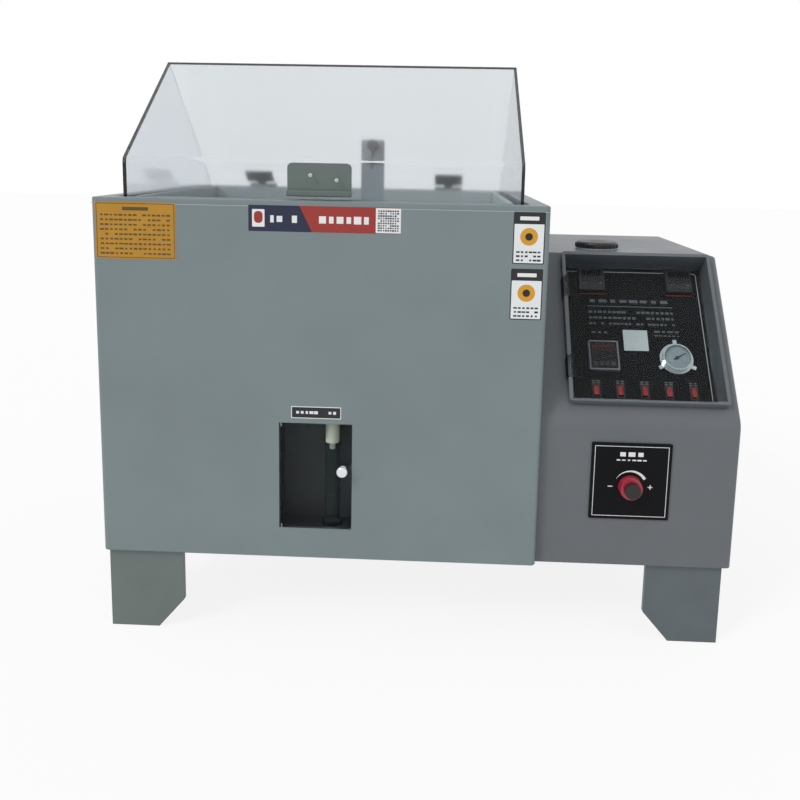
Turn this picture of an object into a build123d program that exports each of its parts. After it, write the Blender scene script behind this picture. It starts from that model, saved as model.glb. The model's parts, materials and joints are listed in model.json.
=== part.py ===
from build123d import *
import math
import os

os.makedirs("parts", exist_ok=True)

# Tank body
tank_width = 735
tank_height = 603
tank_wall = 8
tank_corner_radius = 7
floor_sheet = 10
flange_sheet = 8
flange_edge_break = 1.5
tank_edge_break = 2
foot_height = 142

# Chamber liner, inside sizes and place in the tank
chamber_depth = 475
chamber_height = 400
chamber_left_margin = 63
chamber_right_margin = 64
chamber_front_margin = 67
chamber_back_margin = 63
weld_gap = 0.2
liner_wall = 6
chamber_floor_fall = 10
rack_ledge_drop = 110
rack_ledge_size = 16

# Water-seal trough round the chamber mouth
trough_wall = 4
trough_depth = 36
trough_gap_inside = 10
trough_gap_outside = 9

# Lid
lid_sheet = 5
lid_skirt_dip = 16
lid_bend_height = 62
lid_bend_radius = 14
lid_ridge_height = 241
lid_ridge_setback = 250
lid_rear_bend_height = 10
handle_width = 104
handle_height = 54
handle_sheet = 8
handle_base_gap = 6
handle_corner_radius = 8
handle_lip_depth = 9
handle_lip_height = 10
handle_lip_radius = 2

# Lid hinges
lid_hinge_setback = 25
lid_hinge_height = 8
lid_hinge_width = 60
lid_hinge_spacing = 420
lid_knuckle_radius = 5
lid_pin_radius = 2.5
lid_leaf_sheet = 2.5
lid_leaf_start = 6
lid_leaf_length = 34
lid_hinge_base_depth = 18
lid_hinge_base_shift = 2
knuckle_gap = 0.6
pin_clearance = 0.05

# Window, its door and the cylinder compartment
window_width = 122
window_height = 184
window_sill = 53
window_shift = -4
door_sheet = 5
door_gap = 1
door_bevel = 0.8
compartment_depth = 44
compartment_wall = 6
door_pin_radius = 1.5
door_pin_bite = 6
door_stop_width = 4
door_stop_height = 40
door_knob_radius = 9.3
door_knob_reach = 20
door_knob_stem_radius = 4
door_knob_inset = 14
door_knob_height = 107
door_knob_screw_radius = 2
door_knob_collar = 2
door_knob_waist_start = 4
door_knob_waist_end = 9
door_knob_widest = 14.5
door_stop_weld = 8

# Measuring cylinder and collector spout
cylinder_radius = 12.5
cylinder_glass = 1.8
cylinder_height = 144
cylinder_foot_radius = 19
cylinder_foot_height = 6
cylinder_shift = 25
cylinder_setback = 31
cylinder_lip_height = 5
cylinder_lip_width = 1.5
cylinder_base_sheet = 2
spout_cap_radius = 12
spout_cap_height = 40
spout_tip_radius = 5
spout_tip_dip = 12
spout_tube_radius = 8
spout_rise = 92

# Feet
foot_width = 128
foot_plate = 10
foot_inset = 6
foot_setback = 10
foot_cut_width = 45
foot_cut_height = 52

# Console
console_width = 331
console_height = 507
console_setback = 18
console_wall = 6
console_slope_rise = 256
console_slope = 52
console_bend_radius = 40
console_edge_radius = 10
service_width = 250
service_sill = 60
service_head = 67
service_sheet = 3
service_overlap = 12
service_corner_radius = 4
louvre_pitch = 12
louvre_slot = 4
louvre_count = 8

# Raised rim and its pocket on the console slope
rim_width = 265
rim_side_margin = 48
rim_start = 29
rim_end_margin = 5.9
rim_proud = 15
rim_wall = 6
rim_corner_radius = 6
pocket_depth = 48
panel_sheet = 3
panel_ledge = 6
panel_gap = 0.5

# Clear cover
cover_sheet = 3
cover_side_gap = 18
cover_top_gap = 24
cover_seat = 3
cover_gap = 1
cover_corner_cut = 9
cover_hinge_width = 40
cover_hinge_leaf = 15
cover_hinge_sheet = 2
cover_knuckle_radius = 2.5
cover_pin_radius = 1.2
cover_hinge_low = 62
cover_hinge_top_gap = 72

# Panel instruments
panel_shift = 5
controller_size = 48
controller_spacing = 158
controller_top_gap = 34
controller_proud = 9
controller_depth = 26
controller_lip = 2
controller_corner_radius = 2
controller_draft = 6
controller_window_inset = 5
controller_window_radius = 1.5
controller_face_depth = 1.5
timer_size = 52
timer_length = 56
timer_side = -67
timer_along = 132
timer_proud = 8
timer_side_lip = 3
timer_end_lip = 4
timer_face_depth = 4
timer_corner_radius = 2.5
timer_frame_width = 3.5
timer_frame_end = 4.5
timer_face_radius = 2
gauge_radius = 25
gauge_flange_radius = 29
gauge_side = 60
gauge_along = 131
gauge_proud = 11
gauge_case_depth = 24
gauge_lug_radius = 32
gauge_lug_width = 9
gauge_lug_depth = 7
gauge_flange_sheet = 2
gauge_dial_depth = 6
gauge_bezel = 2.5
gauge_pipe_radius = 6
gauge_pipe_reach = 18
gauge_lens_sheet = 1.6
gauge_lens_inset = 0.6
gauge_pointer_length = 19
gauge_pointer_width = 2.4
gauge_pointer_tip = 0.8
gauge_pointer_tail = 7
gauge_pointer_sheet = 1.2
gauge_pointer_hub = 3.2
gauge_hub_reach = 2.4
gauge_hub_radius = 1.4
gauge_reading = 60
rocker_width = 9.6
rocker_length = 20
rocker_spacing = 41.6
rocker_along = 67
rocker_frame = 2.4
rocker_frame_sheet = 1.6
rocker_frame_radius = 1.2
rocker_hole_radius = 0.5
rocker_hole_play = 1
rocker_housing_depth = 14
rocker_housing_floor = 2
rocker_well_play = 0.2
rocker_side_gap = 0.7
rocker_pivot_reach = 0.8
rocker_heel = 4
rocker_proud = 3
rocker_throw = 8
rocker_pivot_drop = 3
rocker_pivot_radius = 1.2
rocker_crown = 1.5
rocker_end_gap = 0.8
rocker_count = 5

# Regulator
regulator_plate_size = 132
regulator_plate_sheet = 3
regulator_side = 153
regulator_plate_share = 0.789
regulator_knob_drop = 9
regulator_knob_radius = 20
regulator_knob_reach = 24
regulator_core_radius = 13
regulator_stem_radius = 4
regulator_body_size = 50
regulator_body_depth = 46
regulator_boss_radius = 11
regulator_flute_radius = 1
regulator_flute_count = 16
regulator_core_reach = 10
regulator_knob_draft = 8
regulator_stem_reach = 12
regulator_port_radius = 7
regulator_port_reach = 14
regulator_body_corner = 6
regulator_plate_corner = 1.5

# Solution tank and screw cap
solution_width = 190
solution_depth = 150
solution_height = 230
solution_wall = 4
neck_radius = 32
neck_wall = 4
neck_rise = 7
neck_side = 130
neck_setback = 310
solution_shift = 37
solution_top_gap = 8
solution_corner_radius = 20
neck_flange_width = 6
neck_flange_sheet = 2.5
cap_radius = 40
cap_dome = 7
cap_skirt = 9
cap_rib_radius = 1.1
cap_rib_count = 24
cap_rib_top_gap = 2
cap_running_gap = 0.5
cap_seal_sheet = 2

# Pieces inside the chamber
tower_shift = 62
rack_tower_gap = 4
tower_radius = 45
tower_wall = 4
tower_top_drop = 84
tower_base_radius = 62
tower_base_sheet = 8
strip_width = 16
strip_sheet = 6
strip_drop = 160
strip_end_gap = 2
bracket_width = 44
bracket_sheet = 6
bracket_corner_radius = 3
bracket_top = 101
bracket_drop = 50
bracket_gap = 0.3
clamp_knob_drop = 10
clamp_knob_radius = 10.5
clamp_knob_depth = 14
clamp_stud_radius = 3
clamp_flute_radius = 1.4
clamp_flute_count = 10
bracket_travel = 40
cone_radius = 38
cone_height = 26
cone_clearance = 14
cone_rim = 3
prong_size = 8
prong_spacing = 30
nozzle_radius = 7
nozzle_height = 150
nozzle_foot_height = 10
nozzle_waist_height = 18
nozzle_tip_length = 20
rack_depth = 120
rack_bar = 10
rack_height = 20
rack_front_gap = 28
rack_rear_gap = 17
rack_clearance = 1
notch_pitch = 24
notch_width = 4
notch_depth = 6
funnel_radius = 50
funnel_wall = 2.5
funnel_height = 62
funnel_front_gap = 83
funnel_neck_drop = 20
funnel_rim_band = 8
funnel_bend_radius = 20
liner_tube_bite = 12
spout_bend_radius = 14
funnel_rise = 195
probe_radius = 4
probe_reach = 90
probe_drop = 210
probe_back_gap = 72
probe_tail = 30
probe_gland_reach = 12
probe_hole_gap = 2
probe_gland_radius = 12
heater_radius = 6
heater_reach = 520
heater_spacing = 90
heater_height = 90
heater_flange_radius = 75
heater_flange_sheet = 10
heater_head_depth = 55
heater_head_inset = 22
heater_bolt_inset = 10
heater_bolt_radius = 6
heater_bolt_head = 5
heater_bolt_count = 6
heater_hole_gap = 4

# Rear fittings
drain_radius = 13
drain_reach = 85
drain_height = 62
drain_side = 130
valve_body_radius = 22
valve_stem_radius = 4
valve_body_length = 48
valve_body_chamfer = 3
valve_neck_radius = 9
valve_neck_reach = 4
valve_stem_reach = 4
drain_bore_depth = 30
drain_wall = 3
lever_hub_radius = 11
lever_length = 72
lever_width = 14
lever_sheet = 3
exhaust_radius = 27
exhaust_wall = 3
exhaust_reach = 60
exhaust_drop = 75
exhaust_flange_width = 9
exhaust_flange_sheet = 6
barrel_radius = 52
barrel_height = 330
barrel_side = 250
barrel_setback = 480
barrel_dome_radius = 18
barrel_port_radius = 9
barrel_port_reach = 12
gland_radius = 11
gland_reach = 16
gland_nut_width = 2
gland_nut_depth = 5
gland_nose_radius = 3
gland_side = 285
gland_height = 24
fit_gap = 0.3

# Places that follow from the sizes: the origin is below the middle of the whole object
body_bottom = foot_height
tank_depth = chamber_front_margin + chamber_depth + chamber_back_margin
chamber_width = tank_width - chamber_left_margin - chamber_right_margin
tank_left = -(tank_width + console_width) / 2
tank_right = tank_left + tank_width
tank_mid = tank_left + tank_width / 2
console_right = tank_right + console_width
console_mid = tank_right + console_width / 2
tank_front = -(door_knob_reach + tank_depth + drain_reach) / 2 + door_knob_reach
tank_back = tank_front + tank_depth
tank_mid_y = (tank_front + tank_back) / 2
tank_top = body_bottom + tank_height
flange_bottom = tank_top - flange_sheet
console_front = tank_front + console_setback
console_back = tank_back
console_top = body_bottom + console_height
console_bend_height = console_height - console_slope_rise
slope_length = console_slope_rise / math.sin(math.radians(console_slope))
rim_length = slope_length - rim_start - rim_end_margin
controller_along = rim_start + rim_length - controller_top_gap
cover_hinge_high = rim_length - cover_hinge_top_gap
flat_front_height = (console_bend_height
                     - console_bend_radius * math.tan(math.radians(90 - console_slope) / 2))
regulator_plate_height = (regulator_plate_size / 2
                          + regulator_plate_share * (flat_front_height - regulator_plate_size))
regulator_knob_height = regulator_plate_height - regulator_knob_drop
service_height = console_height - service_sill - service_head

chamber_left = tank_left + chamber_left_margin
chamber_right = chamber_left + chamber_width
chamber_front = tank_front + chamber_front_margin
chamber_back = chamber_front + chamber_depth
chamber_mid_x = chamber_left + chamber_width / 2
chamber_mid_y = chamber_front + chamber_depth / 2
chamber_bottom = tank_top - chamber_height

lid_margin = liner_wall + trough_wall + trough_gap_inside + lid_sheet
lid_width = chamber_width + 2 * lid_margin
lid_left = chamber_left - lid_margin
lid_right = chamber_right + lid_margin
lid_front = chamber_front - lid_margin
lid_back = chamber_back + lid_margin
lid_bottom = tank_top - lid_skirt_dip
ridge_y = lid_front + lid_ridge_setback
ridge_z = tank_top + lid_ridge_height
lid_bend_z = tank_top + lid_bend_height
lid_rear_bend_z = tank_top + lid_rear_bend_height
hinge_y = lid_back + lid_hinge_setback
hinge_z = tank_top + lid_hinge_height

window_x = tank_mid + window_shift
window_left = window_x - window_width / 2
window_right = window_x + window_width / 2
window_bottom = body_bottom + window_sill
window_top = window_bottom + window_height
window_mid_z = (window_bottom + window_top) / 2
compartment_front = tank_front + tank_wall
door_edge_radius = door_sheet / 2
door_axis_x = window_left + door_gap + door_edge_radius
door_axis_y = tank_front + door_edge_radius
cylinder_x = window_x + cylinder_shift
cylinder_y = tank_front + cylinder_setback
cylinder_top = window_bottom + cylinder_height
rack_rear_y = chamber_back - rack_rear_gap - rack_depth
tower_x = chamber_mid_x + tower_shift
tower_y = rack_rear_y - rack_tower_gap - tower_radius
exhaust_x = chamber_mid_x
exhaust_z = tank_top - exhaust_drop
probe_y = chamber_back - probe_back_gap
probe_z = tank_top - probe_drop
heater_y = tank_mid_y
heater_z = body_bottom + heater_height
drain_x = tank_left + drain_side
drain_z = body_bottom + drain_height


def ring(width, depth, inner_width, inner_depth, radius, inner_radius):
    """Flat frame with a rounded outline and a rounded opening."""
    RectangleRounded(width, depth, radius)
    RectangleRounded(inner_width, inner_depth, inner_radius, mode=Mode.SUBTRACT)


def finish(name, builder):
    """Label a finished piece and write its file."""
    builder.part.label = name
    export_step(builder.part, "parts/" + name + ".step")



def weld_lines(left, right, front, back):
    """Weld lines of a sheet box, just inside its front, back and side sheets."""
    with Locations(((left + right) / 2, front + weld_gap / 2), ((left + right) / 2, back - weld_gap / 2)):
        Rectangle(2 * tank_width, weld_gap)
    with Locations((left + weld_gap / 2, (front + back) / 2), (right - weld_gap / 2, (front + back) / 2)):
        Rectangle(weld_gap, back - front)


# Outer tank: grey sheet walls welded to a floor, open at the top for the flange
with BuildPart() as outer_tank:
    with BuildSketch(Plane.XY.offset(body_bottom)):
        with Locations((tank_mid, tank_mid_y)):
            RectangleRounded(tank_width, tank_depth, tank_corner_radius)
    extrude(amount=tank_height - flange_sheet)
    chamfer(outer_tank.edges().group_by(Axis.Z)[0], tank_edge_break)
    with BuildSketch(Plane.XY.offset(body_bottom + floor_sheet)):
        with Locations((tank_mid, tank_mid_y)):
            Rectangle(tank_width - 2 * tank_wall, tank_depth - 2 * tank_wall)
    extrude(amount=tank_height, mode=Mode.SUBTRACT)
    with BuildSketch(Plane.XZ.offset(-tank_front)):
        with Locations((window_x, window_mid_z)):
            Rectangle(window_width, window_height)
    extrude(amount=-tank_wall, mode=Mode.SUBTRACT)
    with BuildSketch(Plane.XZ.offset(-tank_back)):
        with Locations((drain_x, drain_z)):
            Circle(drain_radius)
        with Locations((exhaust_x, exhaust_z)):
            Circle(exhaust_radius)
    extrude(amount=tank_wall, mode=Mode.SUBTRACT)
    with BuildSketch(Plane.YZ.offset(tank_right)):
        with Locations((probe_y, probe_z)):
            Circle(probe_radius + fit_gap)
        with Locations((heater_y - heater_spacing / 2, heater_z), (heater_y + heater_spacing / 2, heater_z)):
            Circle(heater_radius + fit_gap)
    extrude(amount=-tank_wall, mode=Mode.SUBTRACT)
    with Locations((door_axis_x, door_axis_y, window_bottom - door_pin_bite)):
        Cylinder(door_pin_radius, window_height + 2 * door_pin_bite,
                 align=(Align.CENTER, Align.CENTER, Align.MIN), mode=Mode.SUBTRACT)
    with BuildSketch(Plane.XY.offset(body_bottom)):
        weld_lines(tank_left + tank_wall, tank_right - tank_wall,
                   tank_front + tank_wall, tank_back - tank_wall)
    extrude(amount=tank_height, mode=Mode.SUBTRACT)
finish("outer_tank", outer_tank)

# Top flange with the water-seal trough welded under it
trough_in_width = chamber_width + 2 * (liner_wall + trough_wall)
trough_in_depth = chamber_depth + 2 * (liner_wall + trough_wall)
trough_out_width = lid_width + 2 * trough_gap_outside
trough_out_depth = (lid_back - lid_front) + 2 * trough_gap_outside
liner_out_width = chamber_width + 2 * liner_wall
liner_out_depth = chamber_depth + 2 * liner_wall
trough_floor = tank_top - trough_depth
with BuildPart() as top_flange:
    with BuildSketch(Plane.XY.offset(flange_bottom)):
        with Locations((tank_mid, tank_mid_y)):
            RectangleRounded(tank_width, tank_depth, tank_corner_radius)
        with Locations((chamber_mid_x, chamber_mid_y)):
            Rectangle(trough_out_width, trough_out_depth, mode=Mode.SUBTRACT)
    extrude(amount=flange_sheet)
    chamfer(top_flange.edges().group_by(Axis.Z)[-1].filter_by(GeomType.LINE).group_by(Axis.Y)[0],
            flange_edge_break)
finish("top_flange", top_flange)

with BuildPart() as seal_trough:
    with BuildSketch(Plane.XY.offset(trough_floor - trough_wall)):
        with Locations((chamber_mid_x, chamber_mid_y)):
            Rectangle(trough_out_width + 2 * trough_wall, trough_out_depth + 2 * trough_wall)
            Rectangle(liner_out_width, liner_out_depth, mode=Mode.SUBTRACT)
    extrude(amount=flange_bottom - trough_floor + trough_wall)
    with BuildSketch(Plane.XY.offset(flange_bottom)):
        with Locations((chamber_mid_x, chamber_mid_y)):
            Rectangle(trough_in_width, trough_in_depth)
            Rectangle(liner_out_width, liner_out_depth, mode=Mode.SUBTRACT)
    extrude(amount=flange_sheet)
    with BuildSketch(Plane.XY.offset(trough_floor)):
        with Locations((chamber_mid_x, chamber_mid_y)):
            Rectangle(trough_out_width, trough_out_depth)
            Rectangle(trough_in_width, trough_in_depth, mode=Mode.SUBTRACT)
    extrude(amount=trough_depth, mode=Mode.SUBTRACT)
finish("seal_trough", seal_trough)

# Chamber liner: welded sheet box with a floor that falls to the rear and notched rack ledges
liner_bottom = chamber_bottom - liner_wall
liner_spout_z = cylinder_top + spout_rise
with BuildPart() as chamber_liner:
    with BuildSketch(Plane.XY.offset(liner_bottom)):
        with Locations((chamber_mid_x, chamber_mid_y)):
            Rectangle(liner_out_width, liner_out_depth)
    extrude(amount=tank_top - liner_bottom)
    with BuildSketch(Plane.YZ.offset(chamber_left)):
        with BuildLine():
            Polyline(
                (chamber_front, tank_top),
                (chamber_front, chamber_bottom + chamber_floor_fall),
                (chamber_back, chamber_bottom),
                (chamber_back, tank_top),
                close=True,
            )
        make_face()
    extrude(amount=chamber_width, mode=Mode.SUBTRACT)
    ledge_z = tank_top - rack_ledge_drop
    with BuildSketch(Plane.XZ.offset(-chamber_front)):
        for side, corner in ((1, chamber_left), (-1, chamber_right)):
            with BuildLine():
                Polyline(
                    (corner, ledge_z),
                    (corner + side * rack_ledge_size, ledge_z),
                    (corner, ledge_z - rack_ledge_size),
                    close=True,
                )
            make_face()
    extrude(amount=-chamber_depth)
    with BuildSketch(Plane.XZ.offset(-chamber_back)):
        with Locations((exhaust_x, exhaust_z)):
            Circle(exhaust_radius)
    extrude(amount=-liner_wall, mode=Mode.SUBTRACT)
    with BuildSketch(Plane.XZ.offset(-chamber_front)):
        with Locations((cylinder_x, liner_spout_z)):
            Circle(spout_tube_radius)
    extrude(amount=liner_wall, mode=Mode.SUBTRACT)
    with BuildSketch(Plane.YZ.offset(chamber_right)):
        with Locations((probe_y, probe_z)):
            Circle(probe_radius + fit_gap)
    extrude(amount=liner_wall, mode=Mode.SUBTRACT)
    with BuildSketch(Plane.XY.offset(body_bottom)):
        weld_lines(chamber_left, chamber_right, chamber_front, chamber_back)
    extrude(amount=tank_height, mode=Mode.SUBTRACT)
finish("chamber_liner", chamber_liner)

# Compartment behind the window, with the strip that stops the door
box_width = window_width + 2 * compartment_wall
box_height = window_height + 2 * compartment_wall
with BuildPart() as cylinder_compartment:
    with BuildSketch(Plane.XZ.offset(-compartment_front)):
        with Locations((window_x, window_mid_z)):
            Rectangle(box_width, box_height)
    extrude(amount=-(compartment_depth + compartment_wall))
    with BuildSketch(Plane.XZ.offset(-compartment_front)):
        with Locations((window_x, window_mid_z)):
            Rectangle(window_width, window_height)
    extrude(amount=-compartment_depth, mode=Mode.SUBTRACT)
    stop_front = tank_front + door_sheet + fit_gap
    stop_back = compartment_front + door_stop_weld
    with BuildSketch(Plane.XY.offset(window_mid_z - door_stop_height / 2)):
        with Locations((window_right - door_stop_width / 2, (stop_front + stop_back) / 2)):
            Rectangle(door_stop_width, stop_back - stop_front)
    extrude(amount=door_stop_height)
    with Locations((cylinder_x, cylinder_y, window_top + compartment_wall)):
        Hole(spout_cap_radius)
finish("cylinder_compartment", cylinder_compartment)

# Window door: clear sheet with a half-round pivot edge, bored for its pins
door_left = door_axis_x - door_edge_radius
door_right = window_right - door_gap
door_bottom = window_bottom + door_gap
door_height = window_height - 2 * door_gap
knob_x = door_right - door_knob_inset
knob_z = window_bottom + door_knob_height
with BuildPart() as window_door:
    with BuildSketch(Plane.XY.offset(door_bottom)):
        with BuildLine():
            Line((door_axis_x, tank_front), (door_right, tank_front))
            Line((door_right, tank_front), (door_right, tank_front + door_sheet))
            Line((door_right, tank_front + door_sheet), (door_axis_x, tank_front + door_sheet))
            ThreePointArc(
                (door_axis_x, tank_front + door_sheet),
                (door_left, door_axis_y),
                (door_axis_x, tank_front),
            )
        make_face()
    extrude(amount=door_height)
    chamfer(window_door.edges().filter_by(Axis.Z).group_by(Axis.X)[-1].group_by(Axis.Y)[0], door_bevel)
    for start, way in ((door_bottom, 1), (door_bottom + door_height, -1)):
        with BuildSketch(Plane.XY.offset(start)):
            with Locations((door_axis_x, door_axis_y)):
                Circle(door_pin_radius + pin_clearance)
        extrude(amount=way * (door_pin_bite + fit_gap), mode=Mode.SUBTRACT)
    with BuildSketch(Plane.XZ.offset(-tank_front)):
        with Locations((knob_x, knob_z)):
            Circle(door_knob_screw_radius)
    extrude(amount=-door_sheet, mode=Mode.SUBTRACT)
finish("window_door", window_door)

with BuildPart() as door_pins:
    for start, way in ((window_bottom, 1), (window_top, -1)):
        with BuildSketch(Plane.XY.offset(start - way * door_pin_bite)):
            with Locations((door_axis_x, door_axis_y)):
                Circle(door_pin_radius)
        extrude(amount=way * (2 * door_pin_bite + door_gap - fit_gap))
finish("door_pins", door_pins)

# Door knob: turned head on a waist, held by a screw through the sheet
knob_plane = Plane(origin=(knob_x, tank_front, knob_z), x_dir=(1, 0, 0), z_dir=(0, -1, 0))
with BuildPart() as door_knob:
    with BuildSketch(Plane(origin=knob_plane.origin, x_dir=(1, 0, 0), z_dir=(0, 0, 1))):
        with BuildLine():
            Polyline(
                (0, door_sheet),
                (door_knob_screw_radius, door_sheet),
                (door_knob_screw_radius, 0),
                (door_knob_stem_radius + door_knob_collar, 0),
                (door_knob_stem_radius + door_knob_collar, -door_knob_collar),
                (door_knob_stem_radius, -door_knob_waist_start),
                (door_knob_stem_radius, -door_knob_waist_end),
            )
            Spline(
                (door_knob_stem_radius, -door_knob_waist_end),
                (door_knob_radius, -door_knob_widest),
                (0, -door_knob_reach),
                tangents=((1, -1), (-1, 0)),
            )
            Line((0, -door_knob_reach), (0, door_sheet))
        make_face()
    revolve(axis=Axis((knob_x, tank_front, knob_z), (0, 1, 0)))
finish("door_knob", door_knob)

# Measuring cylinder: glass tube on a foot, with a pouring lip
cylinder_bore_radius = cylinder_radius - cylinder_glass
cylinder_plane = Plane(origin=(cylinder_x, cylinder_y, window_bottom), x_dir=(1, 0, 0), z_dir=(0, -1, 0))
with BuildPart() as measuring_cylinder:
    with BuildSketch(cylinder_plane):
        with BuildLine():
            Polyline(
                (0, 0),
                (cylinder_foot_radius, 0),
                (cylinder_foot_radius, cylinder_foot_height / 2),
                (cylinder_radius, cylinder_foot_height),
                (cylinder_radius, cylinder_height - cylinder_lip_height),
                (cylinder_radius + cylinder_lip_width, cylinder_height),
                (cylinder_bore_radius + cylinder_lip_width, cylinder_height),
                (cylinder_bore_radius, cylinder_height - cylinder_lip_height),
                (cylinder_bore_radius, cylinder_foot_height + cylinder_base_sheet),
                (0, cylinder_foot_height + cylinder_base_sheet),
                close=True,
            )
        make_face()
    revolve(axis=Axis((cylinder_x, cylinder_y, 0), (0, 0, 1)))
finish("measuring_cylinder", measuring_cylinder)

# Collector spout: cap in the compartment ceiling, drip tip below, tube above to the liner
with BuildPart() as collector_spout:
    tip_top = window_top - spout_cap_height
    with BuildSketch(Plane.XY.offset(tip_top)):
        with Locations((cylinder_x, cylinder_y)):
            Circle(spout_cap_radius)
    extrude(amount=spout_cap_height + compartment_wall)
    with BuildSketch(Plane.XY.offset(cylinder_top - spout_tip_dip)):
        with Locations((cylinder_x, cylinder_y)):
            Circle(spout_tip_radius)
    extrude(amount=tip_top - cylinder_top + spout_tip_dip)
    with BuildLine():
        FilletPolyline(
            (cylinder_x, cylinder_y, window_top),
            (cylinder_x, cylinder_y, liner_spout_z),
            (cylinder_x, chamber_front + liner_tube_bite, liner_spout_z),
            radius=spout_bend_radius,
        )
    with BuildSketch(Plane.XY.offset(window_top)):
        with Locations((cylinder_x, cylinder_y)):
            Circle(spout_tube_radius)
    sweep()
finish("collector_spout", collector_spout)

# Fog funnel: cone on a stem that turns into the liner wall beside the spout
funnel_y = chamber_front + funnel_front_gap
funnel_rim_z = liner_spout_z + funnel_rise
funnel_neck_z = funnel_rim_z - funnel_height
stem_top = funnel_neck_z - funnel_neck_drop
stem_radius = spout_tip_radius
stem_bore = stem_radius - funnel_wall
with BuildPart() as fog_funnel:
    with BuildSketch(Plane(origin=(cylinder_x, funnel_y, 0), x_dir=(1, 0, 0), z_dir=(0, -1, 0))):
        with BuildLine():
            Polyline(
                (stem_radius, stem_top),
                (stem_radius, funnel_neck_z),
                (funnel_radius, funnel_rim_z - funnel_rim_band),
                (funnel_radius, funnel_rim_z),
                (funnel_radius - funnel_wall, funnel_rim_z),
                (funnel_radius - funnel_wall, funnel_rim_z - funnel_rim_band),
                (stem_bore, funnel_neck_z),
                (stem_bore, stem_top),
                close=True,
            )
        make_face()
    revolve(axis=Axis((cylinder_x, funnel_y, 0), (0, 0, 1)))
    with BuildLine():
        FilletPolyline(
            (cylinder_x, funnel_y, stem_top),
            (cylinder_x, funnel_y, liner_spout_z),
            (cylinder_x, chamber_front + liner_tube_bite, liner_spout_z),
            radius=funnel_bend_radius,
        )
    with BuildSketch(Plane.XY.offset(stem_top)):
        with Locations((cylinder_x, funnel_y)):
            Circle(stem_radius)
    sweep()
finish("fog_funnel", fog_funnel)


# Feet: two plates welded into an angle, the free lower corners cut off
def foot(corner_x, corner_y, way_x, way_y):
    """Corner foot, from its outer corner towards the middle of the body."""
    outline = [
        (0, 0),
        (foot_width, 0),
        (foot_width, -foot_height + foot_cut_height),
        (foot_width - foot_cut_width, -foot_height),
        (0, -foot_height),
    ]
    with BuildPart() as made:
        with BuildSketch(Plane.XZ.offset(-corner_y)):
            with BuildLine():
                Polyline(*[(corner_x + way_x * u, body_bottom + v) for u, v in outline], close=True)
            make_face()
        extrude(amount=-way_y * foot_plate)
        with BuildSketch(Plane.YZ.offset(corner_x)):
            with BuildLine():
                Polyline(*[(corner_y + way_y * u, body_bottom + v) for u, v in outline], close=True)
            make_face()
        extrude(amount=way_x * foot_plate)
    return made


foot_places = {
    "foot_front_left": (tank_left + foot_inset, tank_front + foot_setback, 1, 1),
    "foot_front_right": (console_right - 2 * foot_inset, console_front + foot_setback, -1, 1),
    "foot_rear_left": (tank_left + foot_inset, tank_back - foot_setback, 1, -1),
    "foot_rear_right": (console_right - 2 * foot_inset, tank_back - foot_setback, -1, -1),
}
for foot_name, place in foot_places.items():
    finish(foot_name, foot(*place))

# Spray tower: open tube on a base, with the fixed strip that carries the deflector bracket
tower_top = tank_top - tower_top_drop
tower_floor = chamber_bottom + chamber_floor_fall
floor_plane = Plane(origin=(tower_x, chamber_back, chamber_bottom), x_dir=(1, 0, 0),
                    z_dir=(0, chamber_floor_fall, chamber_depth))
bracket_y = tower_y - tower_radius - strip_sheet - bracket_gap - bracket_sheet
strip_y = bracket_y + bracket_sheet + bracket_gap
clamp_z = tank_top + bracket_top - clamp_knob_drop
with BuildPart() as spray_tower:
    with BuildSketch(Plane.XY.offset(chamber_bottom)):
        with Locations((tower_x, tower_y)):
            Circle(tower_base_radius)
    extrude(amount=chamber_floor_fall + tower_base_sheet)
    split(bisect_by=floor_plane, keep=Keep.TOP)
    with BuildSketch(Plane.XY.offset(tower_floor)):
        with Locations((tower_x, tower_y)):
            Circle(tower_radius)
    extrude(amount=tower_top - tower_floor)
    with BuildSketch(Plane.XY.offset(tower_top - strip_drop)):
        with Locations((tower_x, strip_y + (strip_sheet + tower_wall) / 2)):
            Rectangle(strip_width, strip_sheet + tower_wall)
    extrude(amount=strip_drop)
    with BuildSketch(Plane.XY.offset(tower_top - strip_drop)):
        with Locations((tower_x, strip_y + strip_sheet / 2)):
            Rectangle(strip_width, strip_sheet)
    extrude(amount=strip_drop + tower_top_drop + bracket_top - strip_end_gap)
    with BuildSketch(Plane.XY.offset(tower_floor + tower_base_sheet)):
        with Locations((tower_x, tower_y)):
            Circle(tower_radius - tower_wall)
    extrude(amount=tower_top - tower_floor, mode=Mode.SUBTRACT)
    with BuildSketch(Plane.XZ.offset(-strip_y)):
        with Locations((tower_x, clamp_z)):
            Circle(clamp_stud_radius + pin_clearance)
    extrude(amount=-strip_sheet, mode=Mode.SUBTRACT)
finish("spray_tower", spray_tower)

# Nozzle block inside the tower: a glass jet that stands on the tower base
nozzle_plane = Plane(origin=(tower_x, tower_y, tower_floor + tower_base_sheet), x_dir=(1, 0, 0),
                     z_dir=(0, -1, 0))
with BuildPart() as spray_nozzle:
    with BuildSketch(nozzle_plane):
        with BuildLine():
            Polyline(
                (0, 0),
                (3 * nozzle_radius, 0),
                (3 * nozzle_radius, nozzle_foot_height),
                (nozzle_radius, nozzle_waist_height),
                (nozzle_radius, nozzle_height - nozzle_tip_length),
                (nozzle_radius / 3, nozzle_height),
                (0, nozzle_height),
                close=True,
            )
        make_face()
    revolve(axis=Axis((tower_x, tower_y, 0), (0, 0, 1)))
finish("spray_nozzle", spray_nozzle)

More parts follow.
